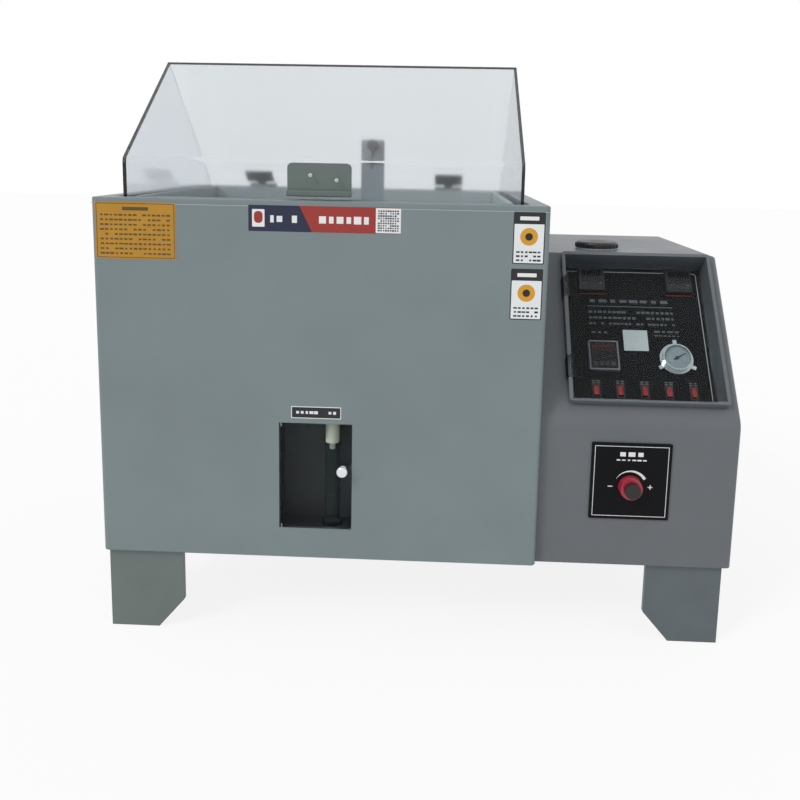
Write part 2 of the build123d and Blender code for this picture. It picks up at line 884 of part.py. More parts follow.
# Deflector bracket: slotted plate, two prongs past the strip and the cone over the tower mouth
cone_bottom = tower_top + cone_clearance
bracket_bottom = tank_top - bracket_drop
slot_bottom = clamp_z - bracket_travel
slot_width = 2 * (clamp_stud_radius + bracket_gap)
with BuildPart() as deflector_bracket:
    with BuildSketch(Plane.XZ.offset(-bracket_y)):
        with Locations((tower_x, (tank_top + bracket_top + bracket_bottom) / 2)):
            RectangleRounded(bracket_width, bracket_top + bracket_drop, bracket_corner_radius)
        with Locations((tower_x, (clamp_z + slot_bottom) / 2)):
            Rectangle(slot_width, bracket_travel + slot_width, mode=Mode.SUBTRACT)
    extrude(amount=-bracket_sheet)
    with BuildSketch(Plane.XZ.offset(-(bracket_y + bracket_sheet))):
        with Locations((tower_x, 0)):
            with GridLocations(prong_spacing, 1, 2, 1):
                with Locations((0, bracket_bottom + prong_size / 2)):
                    Rectangle(prong_size, prong_size)
    extrude(amount=-(tower_y - bracket_y - bracket_sheet))
    with BuildSketch(Plane(origin=(tower_x, tower_y, cone_bottom), x_dir=(1, 0, 0), z_dir=(0, -1, 0))):
        with BuildLine():
            Polyline(
                (0, 0),
                (cone_radius, 0),
                (cone_radius, cone_rim),
                (prong_size, cone_height),
                (0, cone_height),
                close=True,
            )
        make_face()
    revolve(axis=Axis((tower_x, tower_y, 0), (0, 0, 1)))
finish("deflector_bracket", deflector_bracket)

# Clamp knob: fluted head on a stud through the slot into the strip
with BuildPart() as clamp_knob:
    with BuildSketch(Plane.XZ.offset(-(bracket_y - bracket_gap))):
        with Locations((tower_x, clamp_z)):
            Circle(clamp_knob_radius)
            with PolarLocations(clamp_knob_radius + clamp_flute_radius / 2, clamp_flute_count):
                Circle(clamp_flute_radius, mode=Mode.SUBTRACT)
    extrude(amount=clamp_knob_depth)
    with BuildSketch(Plane.XZ.offset(-(bracket_y - bracket_gap))):
        with Locations((tower_x, clamp_z)):
            Circle(clamp_stud_radius)
    extrude(amount=-(bracket_sheet + 2 * bracket_gap + strip_sheet))
finish("clamp_knob", clamp_knob)


# Sample racks: two notched bars joined by end strips, laid on the liner ledges
def sample_rack(front_y):
    """Lift-out rack whose upper edges carry the leaning samples."""
    length = chamber_width - 2 * rack_clearance
    notch_count = int((length - 2 * notch_pitch) / notch_pitch)
    with BuildPart() as made:
        for bar_y in (front_y + rack_bar / 2, front_y + rack_depth - rack_bar / 2):
            with BuildSketch(Plane.XZ.offset(-(bar_y - rack_bar / 2))):
                with Locations((chamber_mid_x, ledge_z + rack_height / 2)):
                    Rectangle(length, rack_height)
                with Locations((chamber_mid_x, ledge_z + rack_height)):
                    with GridLocations(notch_pitch, 1, notch_count, 1):
                        Rectangle(notch_width, 2 * notch_depth, mode=Mode.SUBTRACT)
            extrude(amount=-rack_bar)
        with BuildSketch(Plane.XY.offset(ledge_z)):
            with Locations((chamber_mid_x, front_y + rack_depth / 2)):
                with GridLocations(length - rack_bar, 1, 2, 1):
                    Rectangle(rack_bar, rack_depth)
        extrude(amount=rack_bar)
    return made


finish("sample_rack_front", sample_rack(chamber_front + rack_front_gap))
finish("sample_rack_rear", sample_rack(rack_rear_y))

# Temperature probe through the right-hand walls, with its gland nut on the console side
with BuildPart() as temperature_probe:
    with BuildSketch(Plane.YZ.offset(chamber_right - probe_reach)):
        with Locations((probe_y, probe_z)):
            Circle(probe_radius)
    extrude(amount=tank_right - chamber_right + probe_reach + console_wall + probe_tail)
    with BuildSketch(Plane.YZ.offset(tank_right)):
        with Locations((probe_y, probe_z)):
            RegularPolygon(probe_gland_radius, 6)
    extrude(amount=console_wall + probe_gland_reach)
finish("temperature_probe", temperature_probe)

# Jacket heater: hairpin tube under the liner, its flange bolted on the console side
heater_start = Plane(origin=(tank_right, heater_y - heater_spacing / 2, heater_z), z_dir=(-1, 0, 0))
with BuildPart() as water_heater:
    with BuildLine():
        FilletPolyline(
            (tank_right, heater_y - heater_spacing / 2, heater_z),
            (tank_right - heater_reach, heater_y - heater_spacing / 2, heater_z),
            (tank_right - heater_reach, heater_y + heater_spacing / 2, heater_z),
            (tank_right, heater_y + heater_spacing / 2, heater_z),
            radius=heater_spacing / 2 - 1,
        )
    with BuildSketch(heater_start):
        Circle(heater_radius)
    sweep()
    with BuildSketch(Plane.YZ.offset(tank_right)):
        with Locations((heater_y, heater_z)):
            Circle(heater_flange_radius)
    extrude(amount=heater_flange_sheet)
    with BuildSketch(Plane.YZ.offset(tank_right + heater_flange_sheet)):
        with Locations((heater_y, heater_z)):
            Circle(heater_flange_radius - heater_head_inset)
    extrude(amount=heater_head_depth)
    with BuildSketch(Plane.YZ.offset(tank_right + heater_flange_sheet)):
        with Locations((heater_y, heater_z)):
            with PolarLocations(heater_flange_radius - heater_bolt_inset, heater_bolt_count):
                RegularPolygon(heater_bolt_radius, 6)
    extrude(amount=heater_bolt_head)
finish("water_heater", water_heater)


# Lid outline, seen from the side; the front and back sheets share it and meet at the ridge
def lid_outline():
    """Outer side profile of the lid, closed under its lower edge."""
    with BuildLine() as outline:
        FilletPolyline(
            (lid_front, lid_bottom - lid_sheet),
            (lid_front, lid_bend_z),
            (ridge_y, ridge_z),
            radius=lid_bend_radius,
        )
        FilletPolyline(
            (ridge_y, ridge_z),
            (lid_back, lid_rear_bend_z),
            (lid_back, lid_bottom - lid_sheet),
            radius=lid_bend_radius / 2,
        )
        Line((lid_back, lid_bottom - lid_sheet), (lid_front, lid_bottom - lid_sheet))
    return outline


def lid_shell(keep):
    """Front or back half of the bent lid sheets."""
    with BuildPart() as made:
        with BuildSketch(Plane.YZ.offset(lid_left)):
            add(make_face(lid_outline().edges(), mode=Mode.PRIVATE))
            offset(amount=-lid_sheet, kind=Kind.INTERSECTION, mode=Mode.SUBTRACT)
        extrude(amount=lid_width)
        split(bisect_by=Plane.XY.offset(lid_bottom), keep=Keep.TOP)
        split(bisect_by=Plane.XZ.offset(-ridge_y), keep=keep)
    return made


finish("lid_front", lid_shell(Keep.TOP))
finish("lid_back", lid_shell(Keep.BOTTOM))


def lid_gable(start):
    """Flat side sheet that fits between the front and back sheets."""
    with BuildPart() as made:
        with BuildSketch(Plane.YZ.offset(start)):
            add(make_face(lid_outline().edges(), mode=Mode.PRIVATE))
            offset(amount=-lid_sheet, kind=Kind.INTERSECTION, mode=Mode.REPLACE)
        extrude(amount=lid_sheet)
        split(bisect_by=Plane.XY.offset(lid_bottom), keep=Keep.TOP)
    return made


finish("lid_left_gable", lid_gable(lid_left))
finish("lid_right_gable", lid_gable(lid_right - lid_sheet))

# Lid handle: grey plate screwed to the skirt, with a short finger lip along its lower edge
handle_bottom = tank_top + handle_base_gap
handle_left = window_x - handle_width / 2
with BuildPart() as lid_handle:
    with BuildSketch(Plane.XZ.offset(-lid_front)):
        with BuildLine():
            FilletPolyline(
                (handle_left, handle_bottom),
                (handle_left, handle_bottom + handle_height),
                (handle_left + handle_width, handle_bottom + handle_height),
                (handle_left + handle_width, handle_bottom),
                radius=handle_corner_radius,
            )
            Line((handle_left + handle_width, handle_bottom), (handle_left, handle_bottom))
        make_face()
    extrude(amount=handle_sheet)
    with BuildSketch(Plane.XZ.offset(-(lid_front - handle_sheet))):
        with Locations((window_x, handle_bottom + handle_lip_height / 2)):
            Rectangle(handle_width, handle_lip_height)
    extrude(amount=handle_lip_depth)
    fillet(lid_handle.edges().filter_by(Axis.X).group_by(Axis.Y)[0], handle_lip_radius)
finish("lid_handle", lid_handle)

# Lid hinges: bases and pins on the flange, bent leaves on the back sheet
lid_slope = math.atan2(ridge_z - lid_rear_bend_z, lid_back - ridge_y)
slope_y = -math.cos(lid_slope)
slope_z = math.sin(lid_slope)
leaf_y = lid_back + lid_leaf_start * slope_y + lid_leaf_sheet / 2 * slope_z
leaf_z = lid_rear_bend_z + lid_leaf_start * slope_z - lid_leaf_sheet / 2 * slope_y
leaf_end_y = leaf_y + lid_leaf_length * slope_y
leaf_end_z = leaf_z + lid_leaf_length * slope_z
lid_hinge_mid = lid_left + lid_width / 2
lid_hinge_places = (lid_hinge_mid - lid_hinge_spacing / 2, lid_hinge_mid + lid_hinge_spacing / 2)
knuckle_length = lid_hinge_width / 3
with BuildPart() as lid_hinge_leaves:
    for hinge_x in lid_hinge_places:
        with BuildSketch(Plane.YZ.offset(hinge_x - knuckle_length / 2 + knuckle_gap)):
            with Locations((hinge_y, hinge_z)):
                Circle(lid_knuckle_radius)
            with BuildLine():
                Line((hinge_y, hinge_z), (leaf_y, leaf_z))
            trace(line_width=lid_leaf_sheet)
            with Locations((hinge_y, hinge_z)):
                Circle(lid_pin_radius + pin_clearance, mode=Mode.SUBTRACT)
        extrude(amount=knuckle_length - 2 * knuckle_gap)
        with BuildSketch(Plane.YZ.offset(hinge_x - lid_hinge_width / 2)):
            with BuildLine():
                Line((leaf_y, leaf_z), (leaf_end_y, leaf_end_z))
            trace(line_width=lid_leaf_sheet)
        extrude(amount=lid_hinge_width)
finish("lid_hinge_leaves", lid_hinge_leaves)

with BuildPart() as lid_hinge_bases:
    for hinge_x in lid_hinge_places:
        with BuildSketch(Plane.XY.offset(tank_top)):
            with Locations((hinge_x, hinge_y + lid_hinge_base_shift)):
                Rectangle(lid_hinge_width, lid_hinge_base_depth)
        extrude(amount=hinge_z - tank_top - lid_knuckle_radius - knuckle_gap)
        for side in (-1, 1):
            knuckle_start = hinge_x + (side - 0.5) * knuckle_length
            with BuildSketch(Plane.YZ.offset(knuckle_start)):
                with Locations((hinge_y, hinge_z)):
                    Circle(lid_knuckle_radius)
                with Locations((hinge_y, (tank_top + hinge_z) / 2)):
                    Rectangle(2 * lid_knuckle_radius, hinge_z - tank_top)
            extrude(amount=knuckle_length)
        with BuildSketch(Plane.YZ.offset(hinge_x - lid_hinge_width / 2)):
            with Locations((hinge_y, hinge_z)):
                Circle(lid_pin_radius)
        extrude(amount=lid_hinge_width)
finish("lid_hinge_bases", lid_hinge_bases)

# Console: its side profile, bent between the front and the sloping face
slope_run = (console_height - console_bend_height) / math.tan(math.radians(console_slope))
slope_top_y = console_front + slope_run
bend_z = body_bottom + console_bend_height
slope_plane = Plane(
    origin=(console_mid, console_front, bend_z),
    x_dir=(1, 0, 0),
    z_dir=(0, -math.sin(math.radians(console_slope)), math.cos(math.radians(console_slope))),
)


def console_outline(inset):
    """Side profile of the console, moved inwards by a wall."""
    with BuildLine() as outline:
        Polyline(
            (console_front, bend_z),
            (console_front, body_bottom),
            (console_back, body_bottom),
            (console_back, console_top),
            (slope_top_y, console_top),
            close=True,
        )
    with BuildSketch() as profile:
        make_face(outline.edges())
        if inset:
            offset(amount=-inset, kind=Kind.INTERSECTION, mode=Mode.REPLACE)
        front_corner = profile.vertices().group_by(Axis.X)[0].sort_by(Axis.Y)[-1]
        fillet(front_corner, console_bend_radius - inset)
    return profile.sketch


rim_mid = -console_width / 2 + rim_side_margin + rim_width / 2
rim_along = rim_start + rim_length / 2
neck_x = tank_right + neck_side
neck_y = tank_front + neck_setback
service_z = body_bottom + service_sill + service_height / 2
with BuildPart() as console_shell:
    with BuildSketch(Plane.YZ.offset(tank_right)):
        add(console_outline(0))
    extrude(amount=console_width)
    right_edges = console_shell.faces().sort_by(Axis.X)[-1].edges()
    fillet(right_edges.group_by(Axis.Z)[-1] + right_edges.group_by(Axis.Y)[0]
           + right_edges.filter_by(lambda e: abs(e.tangent_at(0.5).Z) > 0.1 and e.center().Y < slope_top_y),
           console_edge_radius)
    with BuildSketch(Plane.YZ.offset(tank_right + console_wall)):
        add(console_outline(console_wall))
    extrude(amount=console_width - 2 * console_wall, mode=Mode.SUBTRACT)
    with BuildSketch(slope_plane.offset(rim_proud)):
        with Locations((rim_mid, rim_along)):
            RectangleRounded(rim_width, rim_length, rim_corner_radius)
    extrude(amount=-(rim_proud + 4 * console_wall), mode=Mode.SUBTRACT)
    with BuildSketch(Plane.XY.offset(console_top)):
        with Locations((neck_x, neck_y)):
            Circle(neck_radius + fit_gap)
    extrude(amount=-console_wall, mode=Mode.SUBTRACT)
    with BuildSketch(Plane.XZ.offset(-console_back)):
        with Locations((console_mid, service_z)):
            Rectangle(service_width, service_height)
    extrude(amount=console_wall, mode=Mode.SUBTRACT)
    with BuildSketch(Plane.XZ.offset(-console_front)):
        with Locations((tank_right + regulator_side, body_bottom + regulator_knob_height)):
            Circle(regulator_boss_radius + fit_gap)
    extrude(amount=-console_wall, mode=Mode.SUBTRACT)
    with BuildSketch(Plane.YZ.offset(tank_right)):
        with Locations((probe_y, probe_z)):
            Circle(probe_gland_radius + probe_hole_gap)
        with Locations((heater_y, heater_z)):
            Circle(heater_flange_radius + heater_hole_gap)
    extrude(amount=console_wall, mode=Mode.SUBTRACT)
finish("console_shell", console_shell)

# Service panel: screwed over the rear opening, with a stack of louvre slots
with BuildPart() as service_panel:
    with BuildSketch(Plane.XZ.offset(-console_back)):
        with Locations((console_mid, service_z)):
            RectangleRounded(service_width + 2 * service_overlap, service_height + 2 * service_overlap,
                             service_corner_radius)
        with Locations((console_mid, service_z + service_height / 4)):
            with GridLocations(1, louvre_pitch, 1, louvre_count):
                SlotOverall(service_width / 2, louvre_slot, mode=Mode.SUBTRACT)
    extrude(amount=-service_sheet)
finish("service_panel", service_panel)

# Panel rim: four walls that stand proud of the slope and form the pocket, with a ledge for the panel
rim_left = rim_mid - rim_width / 2
rim_bottom = rim_start
rim_top = rim_start + rim_length
panel_top = rim_proud - pocket_depth
rim_base = panel_top - panel_sheet - panel_ledge
pocket_width = rim_width - 2 * rim_wall
pocket_length = rim_length - 2 * rim_wall
with BuildPart() as panel_rim:
    with BuildSketch(slope_plane.offset(rim_base)):
        with Locations((rim_mid, rim_along)):
            ring(rim_width, rim_length, pocket_width, pocket_length, rim_corner_radius, cover_gap)
    extrude(amount=rim_proud - rim_base)
    with BuildSketch(slope_plane.offset(rim_base)):
        with Locations((rim_mid, rim_along)):
            Rectangle(pocket_width, pocket_length)
            Rectangle(pocket_width - 2 * panel_ledge, pocket_length - 2 * panel_ledge, mode=Mode.SUBTRACT)
    extrude(amount=panel_ledge)
    cover_width = pocket_width - cover_side_gap - cover_gap
    cover_left = rim_left + rim_wall + cover_gap
    with BuildSketch(slope_plane.offset(rim_proud)):
        with Locations((cover_left + cover_width / 2, rim_bottom + rim_wall - cover_seat / 2)):
            Rectangle(cover_width + 2 * cover_gap, cover_seat)
    extrude(amount=-(cover_sheet + fit_gap), mode=Mode.SUBTRACT)
finish("panel_rim", panel_rim)

# Control panel with the openings for its instruments
panel_mid = rim_mid + panel_shift
controller_sides = (panel_mid - controller_spacing / 2, panel_mid + controller_spacing / 2)
timer_x = panel_mid + timer_side
gauge_x = panel_mid + gauge_side
first_rocker = panel_mid - (rocker_count - 1) / 2 * rocker_spacing
rocker_sides = [first_rocker + number * rocker_spacing for number in range(rocker_count)]
controller_case = controller_size - 2 * controller_lip
housing_width = rocker_width + rocker_hole_play
housing_length = rocker_length + rocker_hole_play
with BuildPart() as control_panel:
    with BuildSketch(slope_plane.offset(panel_top - panel_sheet)):
        with Locations((rim_mid, rim_along)):
            RectangleRounded(pocket_width - 2 * panel_gap, pocket_length - 2 * panel_gap, cover_gap)
        with Locations(*[(side, controller_along) for side in controller_sides]):
            Rectangle(controller_case, controller_case, mode=Mode.SUBTRACT)
        with Locations((timer_x, timer_along)):
            Rectangle(timer_size - 2 * timer_side_lip, timer_length - 2 * timer_end_lip, mode=Mode.SUBTRACT)
        with Locations((gauge_x, gauge_along)):
            Circle(gauge_radius, mode=Mode.SUBTRACT)
        with Locations(*[(side, rocker_along) for side in rocker_sides]):
            Rectangle(housing_width, housing_length, mode=Mode.SUBTRACT)
    extrude(amount=panel_sheet)
finish("control_panel", control_panel)


# Temperature controllers: bezel on the panel, case behind it, sunk display window
def controller(side):
    """Square panel instrument with a recessed display and a row of flush keys."""
    with BuildPart() as made:
        with BuildSketch(slope_plane.offset(panel_top)):
            with Locations((side, controller_along)):
                RectangleRounded(controller_size, controller_size, controller_corner_radius)
        extrude(amount=controller_proud, taper=controller_draft)
        with BuildSketch(slope_plane.offset(panel_top)):
            with Locations((side, controller_along)):
                Rectangle(controller_case, controller_case)
        extrude(amount=-controller_depth)
        with BuildSketch(slope_plane.offset(panel_top + controller_proud)):
            with Locations((side, controller_along + controller_size / 8)):
                RectangleRounded(controller_size - 2 * controller_window_inset, controller_size / 2,
                                 controller_window_radius)
        extrude(amount=-controller_face_depth, mode=Mode.SUBTRACT)
    return made


finish("controller_left", controller(controller_sides[0]))
finish("controller_right", controller(controller_sides[1]))

# Timer: bezel with a sunk face and its case behind the panel
with BuildPart() as timer:
    with BuildSketch(slope_plane.offset(panel_top)):
        with Locations((timer_x, timer_along)):
            RectangleRounded(timer_size, timer_length, timer_corner_radius)
    extrude(amount=timer_proud)
    with BuildSketch(slope_plane.offset(panel_top + timer_proud)):
        with Locations((timer_x, timer_along)):
            RectangleRounded(timer_size - 2 * timer_frame_width, timer_length - 2 * timer_frame_end,
                             timer_face_radius)
    extrude(amount=-timer_face_depth, mode=Mode.SUBTRACT)
    with BuildSketch(slope_plane.offset(panel_top)):
        with Locations((timer_x, timer_along)):
            Rectangle(timer_size - 2 * timer_side_lip, timer_length - 2 * timer_end_lip)
    extrude(amount=-controller_depth)
finish("timer", timer)

# Pressure gauge: flanged case with three lugs, dial face inside, pointer on its spindle, lens
gauge_plane = Plane(slope_plane.offset(panel_top).from_local_coords((gauge_x, gauge_along, 0)),
                    x_dir=slope_plane.x_dir, z_dir=slope_plane.z_dir)
dial_level = gauge_proud - gauge_dial_depth
dial_radius = gauge_radius - gauge_bezel
with BuildPart() as gauge_case:
    with BuildSketch(gauge_plane):
        Circle(gauge_flange_radius)
        with PolarLocations(gauge_lug_radius, 3, start_angle=90):
            Rectangle(gauge_lug_width, gauge_lug_depth)
    extrude(amount=gauge_flange_sheet)
    with BuildSketch(gauge_plane.offset(-gauge_case_depth)):
        Circle(gauge_radius - fit_gap)
    extrude(amount=gauge_case_depth + gauge_proud)
    with BuildSketch(gauge_plane.offset(-gauge_case_depth - gauge_pipe_reach)):
        Circle(gauge_pipe_radius)
    extrude(amount=gauge_pipe_reach)
    with BuildSketch(gauge_plane.offset(dial_level)):
        Circle(dial_radius)
    extrude(amount=gauge_proud, mode=Mode.SUBTRACT)
    with BuildSketch(gauge_plane.offset(dial_level)):
        Circle(gauge_hub_radius - pin_clearance)
    extrude(amount=gauge_hub_reach)
finish("gauge_case", gauge_case)

pointer_start = gauge_plane.offset(dial_level + fit_gap)
pointer_plane = Plane(pointer_start.origin, z_dir=gauge_plane.z_dir,
                      x_dir=gauge_plane.x_dir.rotate(Axis((0, 0, 0), gauge_plane.z_dir), -gauge_reading))
with BuildPart() as gauge_pointer:
    with BuildSketch(pointer_plane):
        Circle(gauge_pointer_hub)
        with BuildLine():
            Polyline(
                (-gauge_pointer_width / 2, -gauge_pointer_tail),
                (gauge_pointer_width / 2, -gauge_pointer_tail),
                (gauge_pointer_tip / 2, gauge_pointer_length),
                (-gauge_pointer_tip / 2, gauge_pointer_length),
                close=True,
            )
        make_face()
        Circle(gauge_hub_radius, mode=Mode.SUBTRACT)
    extrude(amount=gauge_pointer_sheet)
finish("gauge_pointer", gauge_pointer)

with BuildPart() as gauge_lens:
    with BuildSketch(gauge_plane.offset(gauge_proud - gauge_lens_inset - gauge_lens_sheet)):
        Circle(dial_radius)
    extrude(amount=gauge_lens_sheet)
finish("gauge_lens", gauge_lens)


# Rocker switches: each actuator pivots on a pin across its frame
def rocker_plane(side):
    """Frame of one switch: x across it, y up the slope, z out of the panel."""
    return Plane(slope_plane.offset(panel_top).from_local_coords((side, rocker_along, 0)),
                 x_dir=slope_plane.x_dir, z_dir=slope_plane.z_dir)


actuator_width = rocker_width - 2 * rocker_side_gap
well_width = actuator_width + 2 * fit_gap
well_length = rocker_length + 2 * rocker_well_play
with BuildPart() as rocker_frames:
    for side in rocker_sides:
        spot = rocker_plane(side)
        with BuildSketch(spot):
            ring(rocker_width + 2 * rocker_frame, rocker_length + 2 * rocker_frame,
                 rocker_width + 2 * fit_gap, rocker_length + 2 * fit_gap,
                 rocker_frame_radius, rocker_hole_radius)
        extrude(amount=rocker_frame_sheet)
        with BuildSketch(spot.offset(-rocker_housing_depth)):
            Rectangle(housing_width, housing_length)
        extrude(amount=rocker_housing_depth)
        with BuildSketch(spot.offset(rocker_housing_floor - rocker_housing_depth)):
            Rectangle(well_width, well_length)
        extrude(amount=rocker_housing_depth, mode=Mode.SUBTRACT)
        pivot = Plane(spot.from_local_coords((-rocker_width, 0, -rocker_pivot_drop)), x_dir=spot.y_dir,
                      z_dir=spot.x_dir)
        with BuildSketch(pivot):
            Circle(rocker_pivot_radius + pin_clearance)
        extrude(amount=2 * rocker_width, mode=Mode.SUBTRACT)
finish("rocker_frames", rocker_frames)

for number, side in enumerate(rocker_sides, start=1):
    spot = rocker_plane(side)
    half = rocker_length / 2 - rocker_end_gap
    face = rocker_proud + rocker_pivot_drop
    pivot = Plane(spot.from_local_coords((0, 0, -rocker_pivot_drop)), z_dir=spot.x_dir,
                  x_dir=spot.y_dir.rotate(Axis((0, 0, 0), spot.x_dir), -rocker_throw))
    with BuildPart() as rocker:
        with BuildSketch(pivot.offset(-actuator_width / 2)):
            with BuildLine():
                Polyline(
                    (-half, face),
                    (-half * 0.9, 0),
                    (-half * 0.35, -rocker_heel),
                    (half * 0.35, -rocker_heel),
                    (half * 0.9, 0),
                    (half, face),
                )
                ThreePointArc((half, face), (0, face - rocker_crown), (-half, face))
            make_face()
        extrude(amount=actuator_width)
        with BuildSketch(pivot.offset(-actuator_width / 2 - rocker_pivot_reach)):
            Circle(rocker_pivot_radius)
        extrude(amount=actuator_width + 2 * rocker_pivot_reach)
    finish("rocker_" + str(number), rocker)

# Clear cover: sheet with two cut corners, lying in the seat of the lower rim wall
cover_bottom = rim_bottom + rim_wall - cover_seat + cover_gap / 2
cover_top = rim_top - rim_wall - cover_top_gap
cover_right = cover_left + cover_width
hinge_axis_x = rim_left + rim_wall
hinge_axis_h = rim_proud + cover_knuckle_radius
leaf_level = cover_knuckle_radius - cover_hinge_sheet / 2
with BuildPart() as clear_cover:
    with BuildSketch(slope_plane.offset(rim_proud - cover_sheet)):
        with BuildLine():
            Polyline(
                (cover_left, cover_bottom),
                (cover_right, cover_bottom),
                (cover_right, cover_top - cover_corner_cut),
                (cover_right - cover_corner_cut, cover_top),
                (cover_left + cover_corner_cut, cover_top),
                (cover_left, cover_top - cover_corner_cut),
                close=True,
            )
        make_face()
    extrude(amount=cover_sheet)
    for along in (cover_hinge_low, cover_hinge_high):
        hinge_mid = rim_start + along
        third = cover_hinge_width / 3
        with BuildSketch(slope_plane.offset(rim_proud)):
            with Locations((cover_left + cover_hinge_leaf / 2, hinge_mid)):
                Rectangle(cover_hinge_leaf, cover_hinge_width)
        extrude(amount=cover_hinge_sheet)
        knuckle_plane = Plane(slope_plane.from_local_coords((hinge_axis_x, hinge_mid - third / 2 + fit_gap,
                                                             hinge_axis_h)),
                              x_dir=slope_plane.x_dir, z_dir=slope_plane.y_dir)
        with BuildSketch(knuckle_plane):
            Circle(cover_knuckle_radius - fit_gap)
            with Locations((cover_knuckle_radius / 2 + cover_gap, leaf_level)):
                Rectangle(cover_knuckle_radius, cover_hinge_sheet)
        extrude(amount=third - 2 * fit_gap)
        with BuildSketch(knuckle_plane.offset(-third)):
            Circle(cover_pin_radius + pin_clearance)
        extrude(amount=3 * third, mode=Mode.SUBTRACT)
        for side in (-1, 1):
            clear_plane = Plane(slope_plane.from_local_coords((hinge_axis_x, hinge_mid + side * third, 0)),
                                x_dir=slope_plane.x_dir, z_dir=slope_plane.z_dir)
            with BuildSketch(clear_plane.offset(rim_proud)):
                Rectangle(2 * cover_knuckle_radius + 2 * fit_gap, third + 2 * fit_gap)
            extrude(amount=2 * cover_hinge_sheet, mode=Mode.SUBTRACT)
finish("clear_cover", clear_cover)

# Fixed hinge halves: a leaf over the rim wall and down its side, outer knuckles and the pin
leaf_reach = cover_knuckle_radius + fit_gap
with BuildPart() as cover_hinges:
    for along in (cover_hinge_low, cover_hinge_high):
        hinge_mid = rim_start + along
        third = cover_hinge_width / 3
        start_plane = Plane(slope_plane.from_local_coords((hinge_axis_x, hinge_mid - cover_hinge_width / 2,
                                                           hinge_axis_h)),
                            x_dir=slope_plane.x_dir, z_dir=slope_plane.y_dir)
        for step in (0, 2):
            with BuildSketch(start_plane.offset(step * third)):
                Circle(cover_knuckle_radius - fit_gap)
                with Locations((-leaf_reach / 2, leaf_level)):
                    Rectangle(leaf_reach, cover_hinge_sheet)
            extrude(amount=third)
        with BuildSketch(start_plane):
            Circle(cover_pin_radius)
        extrude(amount=cover_hinge_width)
        leaf_inner = hinge_axis_x - leaf_reach
        with BuildSketch(slope_plane.offset(rim_proud)):
            with Locations(((leaf_inner + rim_left - cover_hinge_sheet) / 2, hinge_mid)):
                Rectangle(leaf_inner - rim_left + cover_hinge_sheet, cover_hinge_width)
        extrude(amount=cover_hinge_sheet)
        with BuildSketch(slope_plane.offset(fit_gap)):
            with Locations((rim_left - cover_hinge_sheet / 2, hinge_mid)):
                Rectangle(cover_hinge_sheet, cover_hinge_width)
        extrude(amount=rim_proud + cover_hinge_sheet - fit_gap)
finish("cover_hinges", cover_hinges)

# Regulator: engraved plate on the console front, body behind it, knob on the stem
regulator_x = tank_right + regulator_side
regulator_z = body_bottom + regulator_knob_height
plate_front = console_front - regulator_plate_sheet
with BuildPart() as regulator_plate:
    with BuildSketch(Plane.XZ.offset(-console_front)):
        with Locations((regulator_x, body_bottom + regulator_plate_height)):
            RectangleRounded(regulator_plate_size, regulator_plate_size, regulator_plate_corner)
        with Locations((regulator_x, regulator_z)):
            Circle(regulator_boss_radius + fit_gap, mode=Mode.SUBTRACT)
    extrude(amount=regulator_plate_sheet)
finish("regulator_plate", regulator_plate)

body_front = console_front + console_wall
with BuildPart() as regulator_body:
    with BuildSketch(Plane.XZ.offset(-body_front)):
        with Locations((regulator_x, regulator_z)):
            RectangleRounded(regulator_body_size, regulator_body_size, regulator_body_corner)
    extrude(amount=-regulator_body_depth)
    with BuildSketch(Plane.XZ.offset(-body_front)):
        with Locations((regulator_x, regulator_z)):
            Circle(regulator_boss_radius)
    extrude(amount=console_wall + regulator_plate_sheet)
    with BuildSketch(Plane.XZ.offset(-plate_front)):
        with Locations((regulator_x, regulator_z)):
            Circle(regulator_stem_radius)
    extrude(amount=regulator_stem_reach)
    with BuildSketch(Plane.YZ.offset(regulator_x - regulator_body_size / 2 - regulator_port_reach)):
        with Locations((body_front + regulator_body_depth / 2, regulator_z)):
            Circle(regulator_port_radius)
    extrude(amount=regulator_body_size + 2 * regulator_port_reach)
finish("regulator_body", regulator_body)

with BuildPart() as regulator_knob:
    with BuildSketch(Plane.XZ.offset(-(plate_front - fit_gap))):
        with Locations((regulator_x, regulator_z)):
            Circle(regulator_knob_radius)
    extrude(amount=regulator_knob_reach - regulator_core_reach, taper=regulator_knob_draft)
    with BuildSketch(Plane.XZ.offset(-(plate_front - fit_gap))):
        with Locations((regulator_x, regulator_z)):
            Circle(regulator_core_radius)
            with PolarLocations(regulator_core_radius + regulator_flute_radius / 2, regulator_flute_count):
                Circle(regulator_flute_radius, mode=Mode.SUBTRACT)
    extrude(amount=regulator_knob_reach)
    with BuildSketch(Plane.XZ.offset(-(plate_front - fit_gap))):
        with Locations((regulator_x, regulator_z)):
            Circle(regulator_stem_radius + pin_clearance)
    extrude(amount=regulator_stem_reach, mode=Mode.SUBTRACT)
finish("regulator_knob", regulator_knob)

